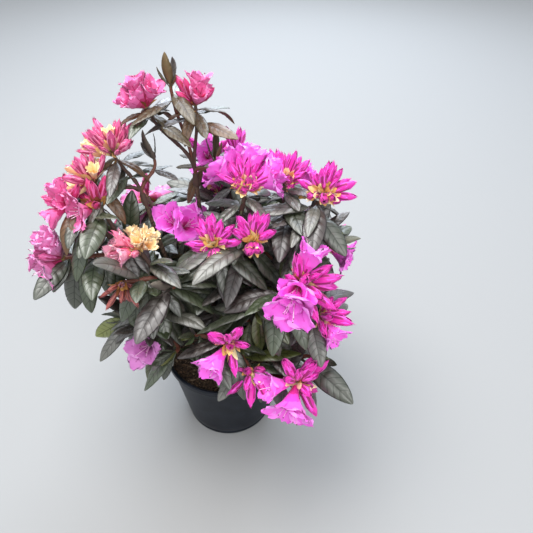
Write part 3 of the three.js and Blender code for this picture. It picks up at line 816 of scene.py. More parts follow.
# A petal's grid: how far its rows are along it, how wide they are, and where its columns lie
Petal = namedtuple("Petal", "rows widths columns")
LOBED = Petal(
    np.array([0, 0.14, 0.28, 0.4, 0.5, 0.58, 0.65, 0.72, 0.78, 0.84, 0.89, 0.935, 0.97, 1.0]),
    np.array([0.15, 0.2, 0.3, 0.44, 0.6, 0.74, 0.85, 0.94, 0.99, 1.0, 0.96, 0.87, 0.73, 0.5]),
    np.array([-1, -0.82, -0.6, -0.36, -0.05, 0.05, 0.36, 0.6, 0.82, 1]),
)
POINTED = Petal(
    np.array([0, 0.16, 0.32, 0.48, 0.62, 0.75, 0.86, 0.94, 1.0]),
    np.array([0.4, 0.52, 0.74, 0.94, 1.0, 0.97, 0.84, 0.62, 0.3]),
    np.array([-1, -0.72, -0.36, 0.36, 0.72, 1]),
)
PETAL_WRINKLES = np.random.default_rng(11).uniform(-1, 1, (16, len(LOBED.rows), len(LOBED.columns)))


def petal_tints(petal, deep, mid, light, edge, is_open):
    """The tints of a petal's faces: a deep throat and midrib, or stripes on a folded one."""
    rows = (petal.rows[:-1] + petal.rows[1:])[:, None] / 2
    spread = np.abs(petal.columns[:-1] + petal.columns[1:])[None] / 2
    rows, spread = np.broadcast_arrays(rows, spread)
    if is_open:
        bands = [rows < 0.28, (rows < 0.8) & (spread < 0.04), rows < 0.46, (rows > 0.8) & (spread > 0.5)]
        return np.select(bands, [deep, mid, mid, edge], light).ravel()
    bands = [rows < 0.25, (spread > 0.3) & (spread < 0.6) & (rows < 0.8), (spread > 0.7) & (rows > 0.3)]
    return np.select(bands, [deep, deep, light], mid).ravel()


def petal_push(form, petal, rows, draws):
    """How far a petal's points stand out from its centre line: ruffles, a crease, a curl and wrinkles."""
    columns, spread = petal.columns, np.abs(petal.columns)
    ripple = np.sin(TURN * (3.6 * rows + draws[0]) + 1.5 * np.sign(columns)) * spread**1.3
    crease = np.sin(TURN * (1.3 * columns + 1.9 * rows + draws[1]))
    envelope = rows**2 if form.is_open else np.sin(math.pi * rows)
    push = form.ruffle * envelope * (0.8 * ripple + 0.5 * crease)
    push += form.width * 0.16 * spread**2 * envelope * (draws[2] - 0.3)
    wrinkles = PETAL_WRINKLES[int(draws[3] * len(PETAL_WRINKLES))][: len(petal.rows), : len(columns)]
    return push + 0.024 * form.width * wrinkles * np.sin(math.pi * np.clip(rows, 0, 1)) ** 0.5


def add_corolla(heap, form, base, axis, turn, size, seed, materials):
    petal = LOBED if form.is_open else POINTED
    tints = petal_tints(petal, *(heap.tint(material) for material in materials), form.is_open)
    first, second = across(axis)
    columns, spread = petal.columns, np.abs(petal.columns)
    for number in range(FLOWER.lobes):
        draws = [chance(seed, number, key) for key in range(7, 12)]
        frill = np.sin(TURN * (2.4 * columns + draws[0]))
        rows = petal.rows[:, None] * (1 - 0.14 * spread**2.4 + 0.045 * frill * form.is_open)
        radius, height = cubic(form.radii, rows), cubic(form.heights, rows)
        run, rise = cubic(form.radii, rows + 0.02) - radius, cubic(form.heights, rows + 0.02) - height
        step, push = np.hypot(run, rise), petal_push(form, petal, rows, draws)
        out = radius * lerp(1, 1 + 0.4 * (draws[3] - 0.5), rows) - push * rise / step
        up = (height + push * run / step) * (1 + 0.16 * (draws[4] - 0.5))
        angle = turn + number / FLOWER.lobes * TURN + form.twist * rows
        angle = angle + columns * petal.widths[:, None] * form.width / np.maximum(out, 3.2)
        parts = ((axis, up), (first, np.cos(angle) * out), (second, np.sin(angle) * out))
        points = base + sum(way * (reach * size)[..., None] for way, reach in parts)
        heap.add(points, grid_faces(len(petal.rows), len(columns)), tints)


def add_stamens(heap, form, base, axis, turn, size, seed, filament, anther):
    for stamen in range(form.stamens):
        out = unit(spoke(axis, turn + stamen * GOLDEN_ANGLE))
        reach = axis * size * lerp(26, 34, chance(seed, stamen, 11))
        lean = out * size * lerp(3, 9, chance(seed, stamen, 12))
        curve = Curve(base, base + reach * 0.4, base + reach * 0.8 + lean * 0.6, base + reach + lean)
        add_tube(heap, rings_along(curve, 4, 3, taper(0.45, 0.36)), filament)
        tip = curve.point(1)
        ring = [point_round(tip, axis, 0.3, 0.75, turn) for turn in turns_round(4)]
        heap.add([tip - axis * 0.7, tip + axis * 1.3, *ring], fan_faces(4), heap.tint(anther))


SCALE_ROWS = np.linspace(0, 1, 6)
SCALE_COLUMNS = np.array([-1, -0.45, 0.45, 1])


def add_scale(heap, base, axis, outward, length, width, flare, material):
    """A bud scale: a pointed boat that stands beside a flower's base and curves away from it."""
    side = unit(np.cross(axis, outward))
    rows = SCALE_ROWS[:, None]
    half = width * np.sin(math.pi * np.clip(rows * 0.8 + 0.18, 0, 1)) ** 0.7
    lift = 1.4 + 3.4 * rows**0.8 + flare * rows**3 - 0.8 * SCALE_COLUMNS**2 * half / width
    parts = ((axis, rows * length), (side, SCALE_COLUMNS * half), (outward, lift))
    points = base + sum(way * reach[..., None] for way, reach in parts)
    heap.add(points, grid_faces(len(SCALE_ROWS), len(SCALE_COLUMNS)), heap.tint(material))


# Colours, as eight-bit values

# Blade, veins and underside. The darker vein colour is partly the veins' and margins' own and partly painted
# shade in the grooves of the side veins and the midrib
LEAF_COLOURS = {
    "violet": ((76, 69, 64), (58, 52, 48), (104, 96, 86)),
    "silver": ((99, 98, 88), (79, 78, 70), (116, 114, 98)),
    "purple": ((64, 53, 48), (49, 40, 36), (92, 76, 66)),
    "grey": ((77, 85, 62), (60, 66, 48), (112, 116, 88)),
    "slate": ((61, 66, 48), (47, 51, 38), (97, 102, 78)),
    "green": ((66, 77, 48), (52, 61, 38), (103, 112, 74)),
    "olive": ((80, 86, 38), (58, 62, 30), (110, 112, 62)),
    "lime": ((132, 140, 56), (98, 104, 42), (150, 152, 84)),
    "bronze": ((86, 74, 50), (62, 52, 36), (116, 96, 64)),
    "copper": ((108, 78, 48), (80, 56, 36), (128, 94, 60)),
}
LEAF_MIXES = {
    "violet": ("violet", "silver", "purple", "violet", "slate", "silver", "grey"),
    "grey": ("grey", "slate", "silver", "green", "violet", "grey"),
    "green": ("slate", "green", "violet", "grey", "purple", "silver", "olive"),
    "bronze": ("bronze", "bronze", "violet", "copper", "bronze", "grey"),
}
DULL_LEAVES = ("bronze", "copper")
LEAF_DIM = 0.8

# Throat, middle, blade and edge
PETAL_COLOURS = {
    "magenta": ((214, 42, 146), (242, 72, 204), (251, 106, 228), (253, 146, 240)),
    "magenta_bud": ((146, 14, 94), (220, 40, 164), (242, 88, 212), (251, 148, 238)),
    "magenta_closed": ((110, 12, 76), (184, 30, 132), (228, 70, 182), (240, 110, 210)),
    "rose": ((164, 22, 66), (204, 54, 116), (230, 104, 166), (242, 150, 200)),
    "pink": ((168, 44, 92), (210, 92, 148), (232, 130, 190), (244, 170, 220)),
    "salmon": ((160, 40, 84), (214, 84, 136), (240, 146, 182), (248, 196, 200)),
    "gold": ((196, 60, 100), (236, 116, 150), (248, 164, 190), (252, 204, 206)),
    "cream": ((228, 128, 88), (250, 196, 122), (255, 222, 164), (255, 236, 196)),
    "pale": ((132, 48, 118), (168, 82, 150), (194, 112, 180), (208, 138, 198)),
    "old": ((104, 44, 40), (146, 74, 66), (174, 98, 86), (190, 122, 104)),
}
SCALE_COLOURS = {
    "gold": ((252, 224, 158), (248, 210, 128), (254, 234, 182), (232, 180, 104)),
    "cream": ((252, 228, 170), (248, 212, 140), (254, 238, 200), (240, 190, 150)),
    "rust": ((150, 96, 54), (176, 116, 62), (128, 76, 48), (196, 142, 80)),
}
SCALE_HUES = {"magenta": "gold", "salmon": "cream", "gold": "cream"}

# How a truss is dressed: what its flower and bud places hold, the buds added to it, its scales and their
# size, how far its blossoms stand out, how much they turn to the front, and how flowers and buds lift
Habit = namedtuple(
    "Habit", "flowers buds extra scales scale_size outward turn lift rise", defaults=(0, -0.3, 0, 0)
)
HABITS = {
    "fan": Habit(("sheaf",), ("folded", "folded", "tube"), 12, 4, 1.2, 1, -0.5, 0.5, 0.5),
    "spray": Habit(("folded",), ("folded", "tube"), 5, 5, 1.2, 1, -0.5, 0.5, 0.6),
    "crown": Habit(("open",), ("tube", "tube", "folded"), 24, 3, 1.15, 0, -0.65, 0.3, 0.3),
    "mixed": Habit(("wide", "open", "wide"), ("folded", "folded", "closed"), 9, 2, 1.2, 1, -0.35, 0.1, 0.5),
    "hanging": Habit(("wide", "open"), ("folded", "folded", "closed"), 5, 2, 1.3, 1, -0.2, -0.3, 0.9),
    "open": Habit(("open",), ("half", "folded"), 0, 1, 0.8, 4, 0.5),
    "wide": Habit(("wide",), ("half", "cup", "folded"), 5, 1, 0.8, 3, 0.35, 0.1, 0.2),
    "loose": Habit(("open",), ("folded", "closed"), 2, 1, 1, 2, 0, 0.1, 0.2),
    "single": Habit(("open",), ("closed",), 1, 1, 0.8, 2, 0.9, 0),
    "frilled": Habit(("cup", "half"), ("cup", "folded"), 8, 1, 0.7, 0, 0),
    "faded": Habit(("sheaf",), ("tube", "folded", "tube", "wither"), 14, 1, 1, 6, -0.3, 0.3, 0.3),
    "gold": Habit(("sheaf",), ("folded", "folded", "half"), 12, 2, 1.1, 2, -0.1, 0.2, 0.1),
    "old": Habit(("tube",), ("tube", "closed"), 0, 2, 0.8, 3, 0),
}
LOW_BUD_SLOPE, FRONT_BUDS, SMALL_SHARE = 0.2, 0.72, 0.85
WITHERED_SIDE = np.array([-0.62, -0.7, -0.35])

# Blossoms that face a set way, for a mass and the number of its shoot. For each form: the place on the truss,
# where a new number adds a blossom, the size, and the direction
FACING = {
    "foliage_top 3": {
        "tube": [(0, 0.9, 0.75, -0.1, 0.75)],
        "closed": [(1, 0.9, 0.5, 0.4, 0.6)],
        "open": [(2, 0.66, 0.1, -0.75, 0.65)],
    },
    "foliage_centre 1": {
        "folded": [
            (0, 0.95, -0.1, 0.05, 1), (1, 0.88, 0.3, -0.05, 0.95), (2, 0.85, -0.4, 0.15, 0.85),
            (3, 0.9, 0.6, -0.1, 0.75), (5, 0.8, -0.75, -0.4, 0.35), (8, 0.88, 0.8, -0.35, 0.4),
        ],
        "closed": [(4, 1.15, -0.95, -0.45, 0.15), (6, 1.2, 0, -0.9, -0.35), (7, 1.1, 0.3, -0.8, -0.2)],
    },
    "foliage_centre 2": {
        "folded": [
            (0, 0.95, 0.1, 0, 1), (1, 1.02, 0.42, -0.05, 0.9), (2, 0.95, -0.38, -0.1, 0.9),
            (3, 0.85, 0.6, -0.3, 0.6), (6, 0.85, -0.55, -0.3, 0.65),
        ],
        "closed": [(4, 1.15, -0.2, -0.9, 0.05), (5, 1.1, 0.3, -0.85, 0.1)],
    },
    "foliage_centre 3": {
        "open": [(0, 0.95, -0.2, -0.45, 0.75), (2, 1, 0.95, 0.1, 0.4)],
        "wide": [(1, 0.95, 0.6, -0.5, 0.7)],
    },
    "foliage_right 0": {
        "folded": [
            (0, 0.96, 0.2, 0.1, 1), (1, 0.84, -0.12, -0.1, 1), (2, 0.76, -0.45, 0, 0.8),
            (3, 0.76, -0.8, 0.1, 0.5), (5, 0.8, 0.75, 0, 0.6), (6, 0.82, 0.95, -0.25, 0.1),
            (10, 0.86, 0.5, 0.1, 0.85),
        ],
        "closed": [
            (4, 0.95, -0.85, -0.4, 0.2), (7, 1, 0.7, -0.55, 0), (8, 1, -0.05, -0.85, 0.25),
            (9, 0.95, 0.4, -0.75, 0.3),
        ],
    },
    "foliage_left_front 1": {
        "folded": [(0, 0.55, 0, -0.9, -0.35), (4, 0.5, 0.7, -0.6, 0.1), (6, 0.5, -0.5, -0.7, 0.15)],
        "tube": [
            (1, 0.8, 0.5, -0.7, -0.3), (3, 0.8, -0.45, -0.7, -0.45), (5, 0.75, 0.15, -0.7, 0.5),
            (8, 0.7, -0.75, -0.4, -0.3),
        ],
        "closed": [(2, 0.9, 0.3, -0.6, -0.75), (7, 0.9, -0.1, -0.55, -0.85), (9, 0.85, 0.75, -0.4, -0.5)],
    },
    "foliage_front 0": {
        "folded": [(0, 1.12, -0.45, -0.45, 0.8), (2, 0.9, 0.2, -0.8, -0.45)],
        "half": [(1, 1.12, -0.5, -0.85, -0.2)],
    },
    "foliage_front 1": {
        "folded": [(0, 0.9, -0.6, -0.6, -0.3), (1, 0.95, 0, -0.8, -0.5), (2, 0.95, 0.55, -0.7, -0.45)],
        "closed": [(3, 0.9, -0.2, -0.5, 0.6), (4, 0.9, 0.6, -0.3, 0.4), (5, 0.8, -0.7, -0.2, 0.4)],
    },
    "foliage_front_right 0": {
        "folded": [(1, 1.12, 0.95, -0.1, 0.3), (3, 1.12, 0.35, -0.85, -0.35), (6, 1.12, 0.8, -0.5, -0.35)],
        "half": [(4, 1.2, 0.35, 0.3, 0.9)],
        "open": [(5, 0.9, -0.25, -0.85, 0.3), (7, 1.25, -0.32, -0.93, -0.08)],
        "closed": [(8, 1, -0.95, -0.3, -0.1)],
    },
    "foliage_back 0": {
        "folded": [(0, 0.85, 0.15, 0.1, 1), (2, 0.9, 0.2, 0.8, 0.4), (5, 0.9, -0.7, 0.7, 0.05)],
        "closed": [(1, 0.9, -0.2, 0.4, 0.8)],
        "half": [(3, 1, -0.35, 0.85, -0.3), (4, 1, 0.35, 0.85, -0.4)],
    },
    "foliage_back_left 0": {
        "half": [(0, 1, -0.5, 0.8, -0.4), (2, 1.05, 0.35, 0.8, -0.5)],
        "wide": [(1, 1, -0.7, 0.4, -0.8)],
        "open": [(3, 0.9, -0.1, 0.7, -0.9)],
    },
    "foliage_front_right 1": {
        "half": [(0, 0.95, 0.5, -0.8, -0.15)],
        "folded": [(1, 1.05, 0.8, -0.5, 0.3), (2, 0.9, 0.1, -0.95, 0.2)],
    },
    "foliage_low_right 0": {
        "folded": [
            (0, 1.05, 0.5, -0.65, -0.6), (1, 1.12, 0.4, -0.1, 0.9), (4, 1.12, -0.35, -0.05, 0.95),
            (6, 1.12, 0.75, 0.2, 0.6),
        ],
        "half": [(2, 1.1, -0.9, -0.4, 0.25)],
        "closed": [(3, 1.12, 0.9, -0.35, -0.2)],
        "open": [(5, 1.25, -0.25, -0.95, -0.28)],
    },
}


def leaf_materials():
    made = {}
    for name, (blade, vein, under) in LEAF_COLOURS.items():
        coat = 0.3 if name in DULL_LEAVES else 1
        gloss = {"dim": LEAF_DIM, "Coat_Roughness": 0.46}
        made[name] = (
            shader(f"leaf_{name}", blade, 0.42, Coat_Weight=coat, Coat_IOR=1.7, **gloss),
            # The vein material is darker than the blade: partly the veins' and margins' own colour, partly
            # painted shade in the vein and midrib grooves
            shader(f"leaf_{name}_vein", vein, 0.44, Coat_Weight=0.6 * coat, **gloss),
            shader(f"leaf_{name}_under", under, 0.7, LEAF_DIM),
        )
    return made


def petal_materials():
    sheen = {"Sheen_Weight": 0.28, "Sheen_Tint": (1, 0.72, 0.95, 1)}
    return {
        hue: [
            shader(f"petal_{hue}_{word}", colour, 0.5, **sheen)
            for word, colour in zip(("deep", "mid", "light", "edge"), colours)
        ]
        for hue, colours in PETAL_COLOURS.items()
    }


# Camera, light and floor

# The photo's frame and focal length in pixels, and the camera's sensor in millimetres and place in metres
FRAME, FOCAL, SENSOR = 533, 490, 36
CAMERA_PLACE = (0.051, -0.394, 0.604)
FLOOR_REACH = 3
FLOOR_COLOUR = (149.74, 149.74, 148.64)

# For each light: its name, its place, the height that it points at, its width, power and colour
LIGHTS = [
    ("sky", (-0.4, 0.1, 1.8), 0.2, 1.2, 33, (1, 0.99, 0.98)),
    ("sky_behind", (0.1, 1.7, 1.5), 0.25, 1.8, 52, (0.78, 0.87, 1)),
    ("side", (0.6, -1.2, 1.3), 0.2, 1.2, 13, (1, 0.98, 0.97)),
]


def add_camera():
    camera = bpy.data.cameras.new("camera")
    camera.sensor_width = SENSOR
    camera.lens = SENSOR * FOCAL / FRAME
    camera.clip_start = 0.01
    holder = placed("camera", camera)
    holder.location = CAMERA_PLACE
    holder.rotation_euler = (CAMERA_TILT, 0, 0)
    bpy.context.scene.camera = holder


def add_lights():
    for name, place, target, width, power, colour in LIGHTS:
        light = bpy.data.lights.new(name, "AREA")
        light.shape = "DISK"
        light.size, light.energy, light.color = width, power, colour
        holder = placed(name, light)
        holder.location = place
        direction = Vector(np.array([0, 0, target]) - np.array(place))
        holder.rotation_euler = direction.to_track_quat("-Z", "Y").to_euler()


def add_surroundings():
    scene = bpy.context.scene
    scene.view_settings.view_transform = "Standard"
    scene.world = bpy.data.worlds.new("studio")
    scene.world.use_nodes = True
    background = scene.world.node_tree.nodes["Background"]
    background.inputs["Color"].default_value = (0.88, 0.93, 1.0, 1)
    background.inputs["Strength"].default_value = 0.87
    corners = [(x * FLOOR_REACH, y * FLOOR_REACH, 0) for x, y in ((-1, -1), (1, -1), (1, 1), (-1, 1))]
    mesh = bpy.data.meshes.new("floor")
    mesh.from_pydata(corners, [], [(0, 1, 2, 3)])
    mesh.materials.append(shader("floor_pale", FLOOR_COLOUR, 0.9))
    placed("floor", mesh)


# Trunk, boughs and twigs


def bark_rings(curve, steps, sides, radius_at, seed, relief):
    """Rings of a limb with the bark's ridges, cracks and three knuckles."""
    rings = rings_along(curve, steps, sides, radius_at)
    centres = rings.mean(axis=1)
    knuckles = [lerp(0.18, 0.9, (index + chance(seed, index)) / 3) for index in range(3)]
    for step, ring in enumerate(rings):
        share = step / steps
        along = share * curve.length
        knuckle = sum(math.exp(-(((share - place) * curve.length / 2.2) ** 2)) for place in knuckles)
        for side, point in enumerate(ring):
            turn = side / sides * TURN
            grain = noise.noise((math.cos(turn) * 2.2 + seed, math.sin(turn) * 2.2, along * 0.09))
            fine = noise.noise((math.cos(turn) * 6 + seed, math.sin(turn) * 6, along * 0.3))
            swell = relief * (grain + 0.45 * fine) + 0.5 * knuckle
            out = point - centres[step]
            ring[side] = point + out / np.linalg.norm(out) * swell
    return rings


def bough_radius(limb):
    """A bough's radius, with a swelling where it leaves its parent; an open limb is slimmer."""
    slim = 0.68 if limb.name in OPEN_LIMBS else 1
    return lambda share, turn: slim * limb_radius(limb, share) * (1 + 0.2 * math.exp(-share * 18))


def build_limbs(curves, bark):
    heap = Heap()
    rings = bark_rings(curves["trunk"], 60, 36, trunk_radius, 3, 0.5)
    rings[0, :, 2] = TRUNK.foot[2]
    add_tube(heap, rings, bark)
    heap.build("trunk_bark", "bark", ["trunk"])
    heap = Heap()
    for number, limb in enumerate(LIMBS):
        add_tube(heap, bark_rings(curves[limb.name], 48, 16, bough_radius(limb), number + 5, 0.28), bark)
    heap.build("boughs_bark", "bark", [limb.name for limb in LIMBS])


def build_twigs(stems, shoots, sides, brown, green):
    heap = Heap()
    for number, (stem, radii) in enumerate(stems):
        add_tube(heap, bark_rings(stem, 5, 10, taper(*radii), number, 0.12), brown)
    for growing in shoots:
        is_young = growing.shoot.slope < 30 or growing.shoot.bloom == "none"
        slim = 0.74 if MASSES[growing.mass].limb in OPEN_LIMBS else 1
        narrowing = taper(TWIG.fork_radius, TWIG.tip_radius, slim)
        rings = bark_rings(growing.curve, 24, 10, narrowing, growing.key, 0.14)
        add_tube(heap, rings, green if is_young else brown)
    for growing in sides:
        add_tube(heap, rings_along(growing.curve, 8, 6, taper(SIDE.radius * 1.3, SIDE.radius)), green)
    heap.build("twigs", "foliage", MASS_NAMES)


# Pot and potting mix


def lathe(profile, sides):
    """Rings round the pot's axis, one for each radius and height of a profile."""
    turns = turns_round(sides)
    return np.array([
        np.stack([radius * np.cos(turns), radius * np.sin(turns), np.full(sides, float(height))], axis=1)
        for radius, height in profile
    ])


def rounded(start, corner, end, steps=4):
    """Points round a corner from one point to another."""
    start, corner, end = (np.array(point, float) for point in (start, corner, end))
    shares = np.linspace(0, 1, steps + 1)[:, None]
    return list((1 - shares) ** 2 * start + 2 * shares * (1 - shares) * corner + shares**2 * end)


def pot_profile():
    """The pot's outline from its underside, up its outside with a groove at the foot, and down its inside."""
    rim, base, height, wall, floor = POT.rim, POT.base, POT.height, POT.wall, POT.floor

    def outer(z):
        return lerp(base, rim - POT.lip_depth, z / height)

    under_lip, inner = height - POT.lip_height, rim - POT.lip_depth - wall
    side = outer(under_lip)
    return [
        (base - 9, 0.4),
        (base - 8, 0),
        *rounded((base - 2, 0), (base, 0), (base + 0.3, 2)),
        (outer(6), 6),
        (outer(6) - 0.25, 6.6),
        (outer(7.4) - 0.25, 7.4),
        (outer(8), 8),
        *[(outer(z), z) for z in np.linspace(20, under_lip - 3, 6)],
        *rounded((side, under_lip - 1), (side, under_lip), (rim - 1.2, under_lip + 0.3)),
        *rounded((rim - 0.9, under_lip + 0.5), (rim - 0.2, under_lip + 0.6), (rim - 0.2, under_lip + 1.6)),
        (rim, height - 2.6),
        *rounded((rim, height - 1.6), (rim, height), (rim - 1.4, height)),
        *rounded((rim - 2, height), (inner + 0.3, height), (inner, height - 1.4)),
        (side - wall, under_lip - 1),
        (base - wall + 1, floor + 2),
        (base - wall - 2, floor),
    ]


def drill(piece, drills):
    """Cuts the drills out of a piece and takes them away."""
    cut = piece.modifiers.new("holes", "BOOLEAN")
    cut.object, cut.solver = drills, "EXACT"
    bpy.context.view_layer.update()
    mesh = bpy.data.meshes.new_from_object(piece.evaluated_get(bpy.context.evaluated_depsgraph_get()))
    piece.modifiers.clear()
    piece.data = mesh
    bpy.data.objects.remove(drills)


def drain_drills():
    heap, sides = Heap(), 24
    ends = np.arange(sides)
    for turn in turns_round(DRAIN.holes):
        centre = np.array([DRAIN.circle * math.cos(turn), DRAIN.circle * math.sin(turn), 0])
        rings = lathe([(DRAIN.radius, -1), (DRAIN.radius, POT.floor + 1)], sides) + centre
        heap.add(rings, grid_faces(2, sides, closed=True), 0)
        heap.add(rings[0], [ends[::-1]], 0)
        heap.add(rings[1], [ends], 0)
    return placed("drills", heap.mesh("drills"))


def build_pot(plastic):
    """The pot as one closed surface, with a disc at each end of its profile and its drain holes cut out."""
    heap, sides, profile = Heap(), 144, pot_profile()
    middles = [(0, 0, profile[0][1]), (0, 0, profile[-1][1])]
    points = np.vstack([lathe(profile, sides).reshape(-1, 3), middles])
    heap.add(points, grid_faces(len(profile), sides, closed=True), heap.tint(plastic))
    count = len(profile) * sides
    ends, last = np.arange(sides), count - sides
    following = (ends + 1) % sides
    under = np.stack([following, ends, np.full(sides, count)], axis=1)
    inside = np.stack([last + ends, last + following, np.full(sides, count + 1)], axis=1)
    heap.add_faces(np.vstack([under, inside]), heap.tint(plastic))
    drill(heap.build("pot_shell", "pot_plastic", ["pot"]), drain_drills())


MIX = Named(reach=69.2, sides=120, rings=34, crumbs=2600, crumb_reach=67.5, tufts=1500, patches=5)
PATCH = Named(reach=62, radius=9, limit=66)


def build_mix_surface(earth):
    """The uneven top of the mix, and its body down to the pot's floor."""
    heap, sides, reach = Heap(), MIX.sides, MIX.reach
    layers = ((1.3, 0.06, 1), (0.9, 0.3, 2), (0.5, 0.9, 3))
    rings = lathe([(share * reach, MIX_TOP) for share in np.linspace(0.01, 1, MIX.rings)], sides)
    for point in rings.reshape(-1, 3):
        x, y = point[:2]
        bump = sum(rise * noise.noise((x * scale, y * scale, layer)) for rise, scale, layer in layers)
        point[2] += bump - 0.6 + 0.8 * (math.hypot(x, y) / 69) ** 6
    heap.add(rings, grid_faces(len(rings), sides, closed=True)[:, ::-1], heap.tint(earth))
    profile = [(reach, MIX_TOP - 1), (62, 60), (55, POT.floor + 0.4), (0.5, POT.floor + 0.4)]
    heap.add(lathe(profile, sides), grid_faces(len(profile), sides, closed=True), heap.tint(earth))
    heap.build("mix_surface", "potting_mix", ["potting_mix"])


def build_crumbs(crumbs):
    """Loose crumbs of bark and peat on the mix."""
    heap = Heap()
    for index in range(MIX.crumbs):
        reach, azimuth, rise, bulk, x, y, z, stretch = (chance(index, key) for key in range(21, 29))
        centre = point_at((360 * azimuth, MIX.crumb_reach * math.sqrt(reach), MIX_TOP + 0.6 * rise))
        size = lerp(0.5, 2.2, bulk**3)
        axis = unit(np.array([x - 0.5, y - 0.5, 0.7 * z - 0.3]))
        end = axis * size * lerp(1, 3.2, stretch**2)
        ring = []
        for corner in range(5):
            along = size * 0.3 * (chance(index, corner) - 0.5)
            radius = size * lerp(0.5, 1, chance(index, corner, 29))
            ring.append(point_round(centre, axis, along, radius, corner * math.pi * 0.4))
        material = crumbs[int(chance(index, 30) * len(crumbs))]
        heap.add([centre - end, centre + end, *ring], fan_faces(5), heap.tint(material))
    heap.build("mix_crumbs", "potting_mix", [], smooth=False)


def build_moss(moss):
    """A few patches of small upright tufts."""
    heap = Heap()
    for index in range(MIX.tufts):
        patch = int(chance(index, 31) * MIX.patches)
        spot = point_at((360 * chance(patch, 32), PATCH.reach * math.sqrt(chance(patch, 33)), MIX_TOP))
        centre = spot + point_at((360 * chance(index, 34), PATCH.radius * chance(index, 35) ** 0.7, 0))
        if np.hypot(*centre[:2]) > PATCH.limit:
            continue
        axis = unit(np.array([chance(index, 36) - 0.5, chance(index, 37) - 0.5, 0.9]))
        ring = [point_round(centre, axis, 0.6, 0.35, turn) for turn in turns_round(3)]
        tip = centre + axis * lerp(1.2, 2.6, chance(index, 38))
        heap.add([centre, tip, *ring], fan_faces(3), heap.tint(moss))
    heap.build("mix_moss", "potting_mix", [], smooth=False)


# Foliage

# The space before a truss that leaves keep out of, as seen from the front: its radius and depth, by habit
CLEARINGS = {"open": (40, 110), "gold": (22, 70), "loose": (20, 70), "old": (17, 70)}
CLEARING = (14, 70)
TRUSS_CENTRE = 14

# More places that leaves keep off, each with a radius: the mix and the rim at the front left, the large
# flowers at the right, the old head at the left, and the petals of a front cluster
BARE_SPOTS = [
    ((-38, -36, MIX_TOP), 26),
    ((-22, -76, MIX_TOP), 21),
    ((4, -76, MIX_TOP - 14), 19),
    ((70, -72, 262), 34),
    ((-93, -48, 250), 19),
    ((2, -86, 203), 16),
]
LEAF_PIECE_TRIANGLES = 130000
LIME_LEAF_SHOOT = ("foliage_low_left", 1)
OPEN_LEAF = Named(kept=5, dropped=0.75, length=0.8, width=0.76)


def mass_palette(mass, leaf, materials):
    mix = LEAF_MIXES[mass.foliage]
    return materials[mix[int(chance(leaf.key, leaf.index, 41) * len(mix))]]


def is_before(leaf, centre, radius, depth=math.inf):
    """Whether a part of a leaf's midrib lies before a point, as seen from the front."""
    for share in (0.3, 0.55, 0.8, 1):
        drop = leaf.normal * LEAF.sag * share**2 * leaf.length
        offset = leaf.root + leaf.direction * share * leaf.length - drop - centre
        ahead = offset @ FRONT
        if 4 < ahead < depth and np.linalg.norm(offset - FRONT * ahead) < radius:
            return True
    return False


def is_in_the_way(leaf, shoots):
    """Whether a leaf hides a truss that isn't at the back, or one of the bare spots."""
    if any(is_before(leaf, np.array(place), radius) for place, radius in BARE_SPOTS):
        return True
    for growing in shoots:
        if growing.shoot.hue and "back" not in MASSES[growing.mass].name:
            centre = growing.curve.point(1) + growing.axis * TRUSS_CENTRE
            if is_before(leaf, centre, *CLEARINGS.get(growing.shoot.habit, CLEARING)):
                return True
    return False


def add_sprout(heap, growing, materials):
    """A cluster of young upright leaves at the end of a shoot without flowers."""
    axis, key = growing.axis, growing.key
    for index in range(4):
        outward = spoke(axis, index * GOLDEN_ANGLE + key)
        direction = unit(axis + outward * lerp(0.05, 0.7, index / 3))
        normal = unit(direction * (outward @ direction) - outward)
        root, length = growing.curve.point(1) - axis, lerp(33, 17, index / 3)
        leaf = Leaf(root, direction, normal, length, growing, index, key + 0.5)
        add_leaf(heap, leaf, mass_palette(MASSES[growing.mass], leaf, materials), 0.7, -0.2)


def add_collar(heap, growing, materials):
    """A collar of slim leaves that spread level below a truss."""
    root, key = growing.curve.point(1) - growing.axis * 4, growing.key
    for index in range(4):
        turn, drop = index * GOLDEN_ANGLE + key, 0.05 + 0.3 * chance(key, index, 71)
        direction = unit(np.array([math.cos(turn), math.sin(turn), -drop]))
        normal = unit(UP - direction * direction[2])
        length = lerp(34, 46, chance(key, index, 72))
        leaf = Leaf(root, direction, normal, length, growing, index, key + 0.7)
        add_leaf(heap, leaf, materials[DULL_LEAVES[index % 2]], 0.8, 0.3)


def add_lime_leaf(heap, growing, materials):
    """The broad lime leaf that stands off the lower left of the crown."""
    direction = unit(np.array([-0.95, -0.25, -0.45]))
    normal = unit(FRONT - direction * (direction @ FRONT))
    leaf = Leaf(growing.curve.point(1), direction, normal, 52, growing, 9, growing.key + 0.9)
    add_leaf(heap, leaf, materials["lime"], 1.05)


def add_end_leaves(heap, growing, materials):
    """The leaves at a shoot's end, added to what the solids have there."""
    if not growing.shoot.hue:
        add_sprout(heap, growing, materials)
    if (MASSES[growing.mass].name, growing.key % 10) == LIME_LEAF_SHOOT:
        add_lime_leaf(heap, growing, materials)
    if growing.shoot.habit in ("frilled", "faded"):
        add_collar(heap, growing, materials)


def add_twig_leaf(heap, leaf, mass, materials):
    """A leaf where the solids have one. Those of an open limb are fewer, shorter and more level."""
    palette = mass_palette(mass, leaf, materials)
    narrow, hook, thinning = (chance(leaf.key, leaf.index, key) for key in (42, 43, 44))
    narrow, hook = lerp(0.73, 1, narrow), lerp(-0.02, 0.14, hook)
    if mass.limb in OPEN_LIMBS:
        if leaf.index >= OPEN_LEAF.kept and thinning < OPEN_LEAF.dropped:
            return
        level = unit(leaf.direction * [1, 1, 0.2] + UP * 0.08)
        length, normal = leaf.length * OPEN_LEAF.length, unit(UP - level * level[2])
        leaf = leaf._replace(length=length, direction=level, normal=normal)
        narrow *= OPEN_LEAF.width
    add_leaf(heap, leaf, palette, narrow, hook)


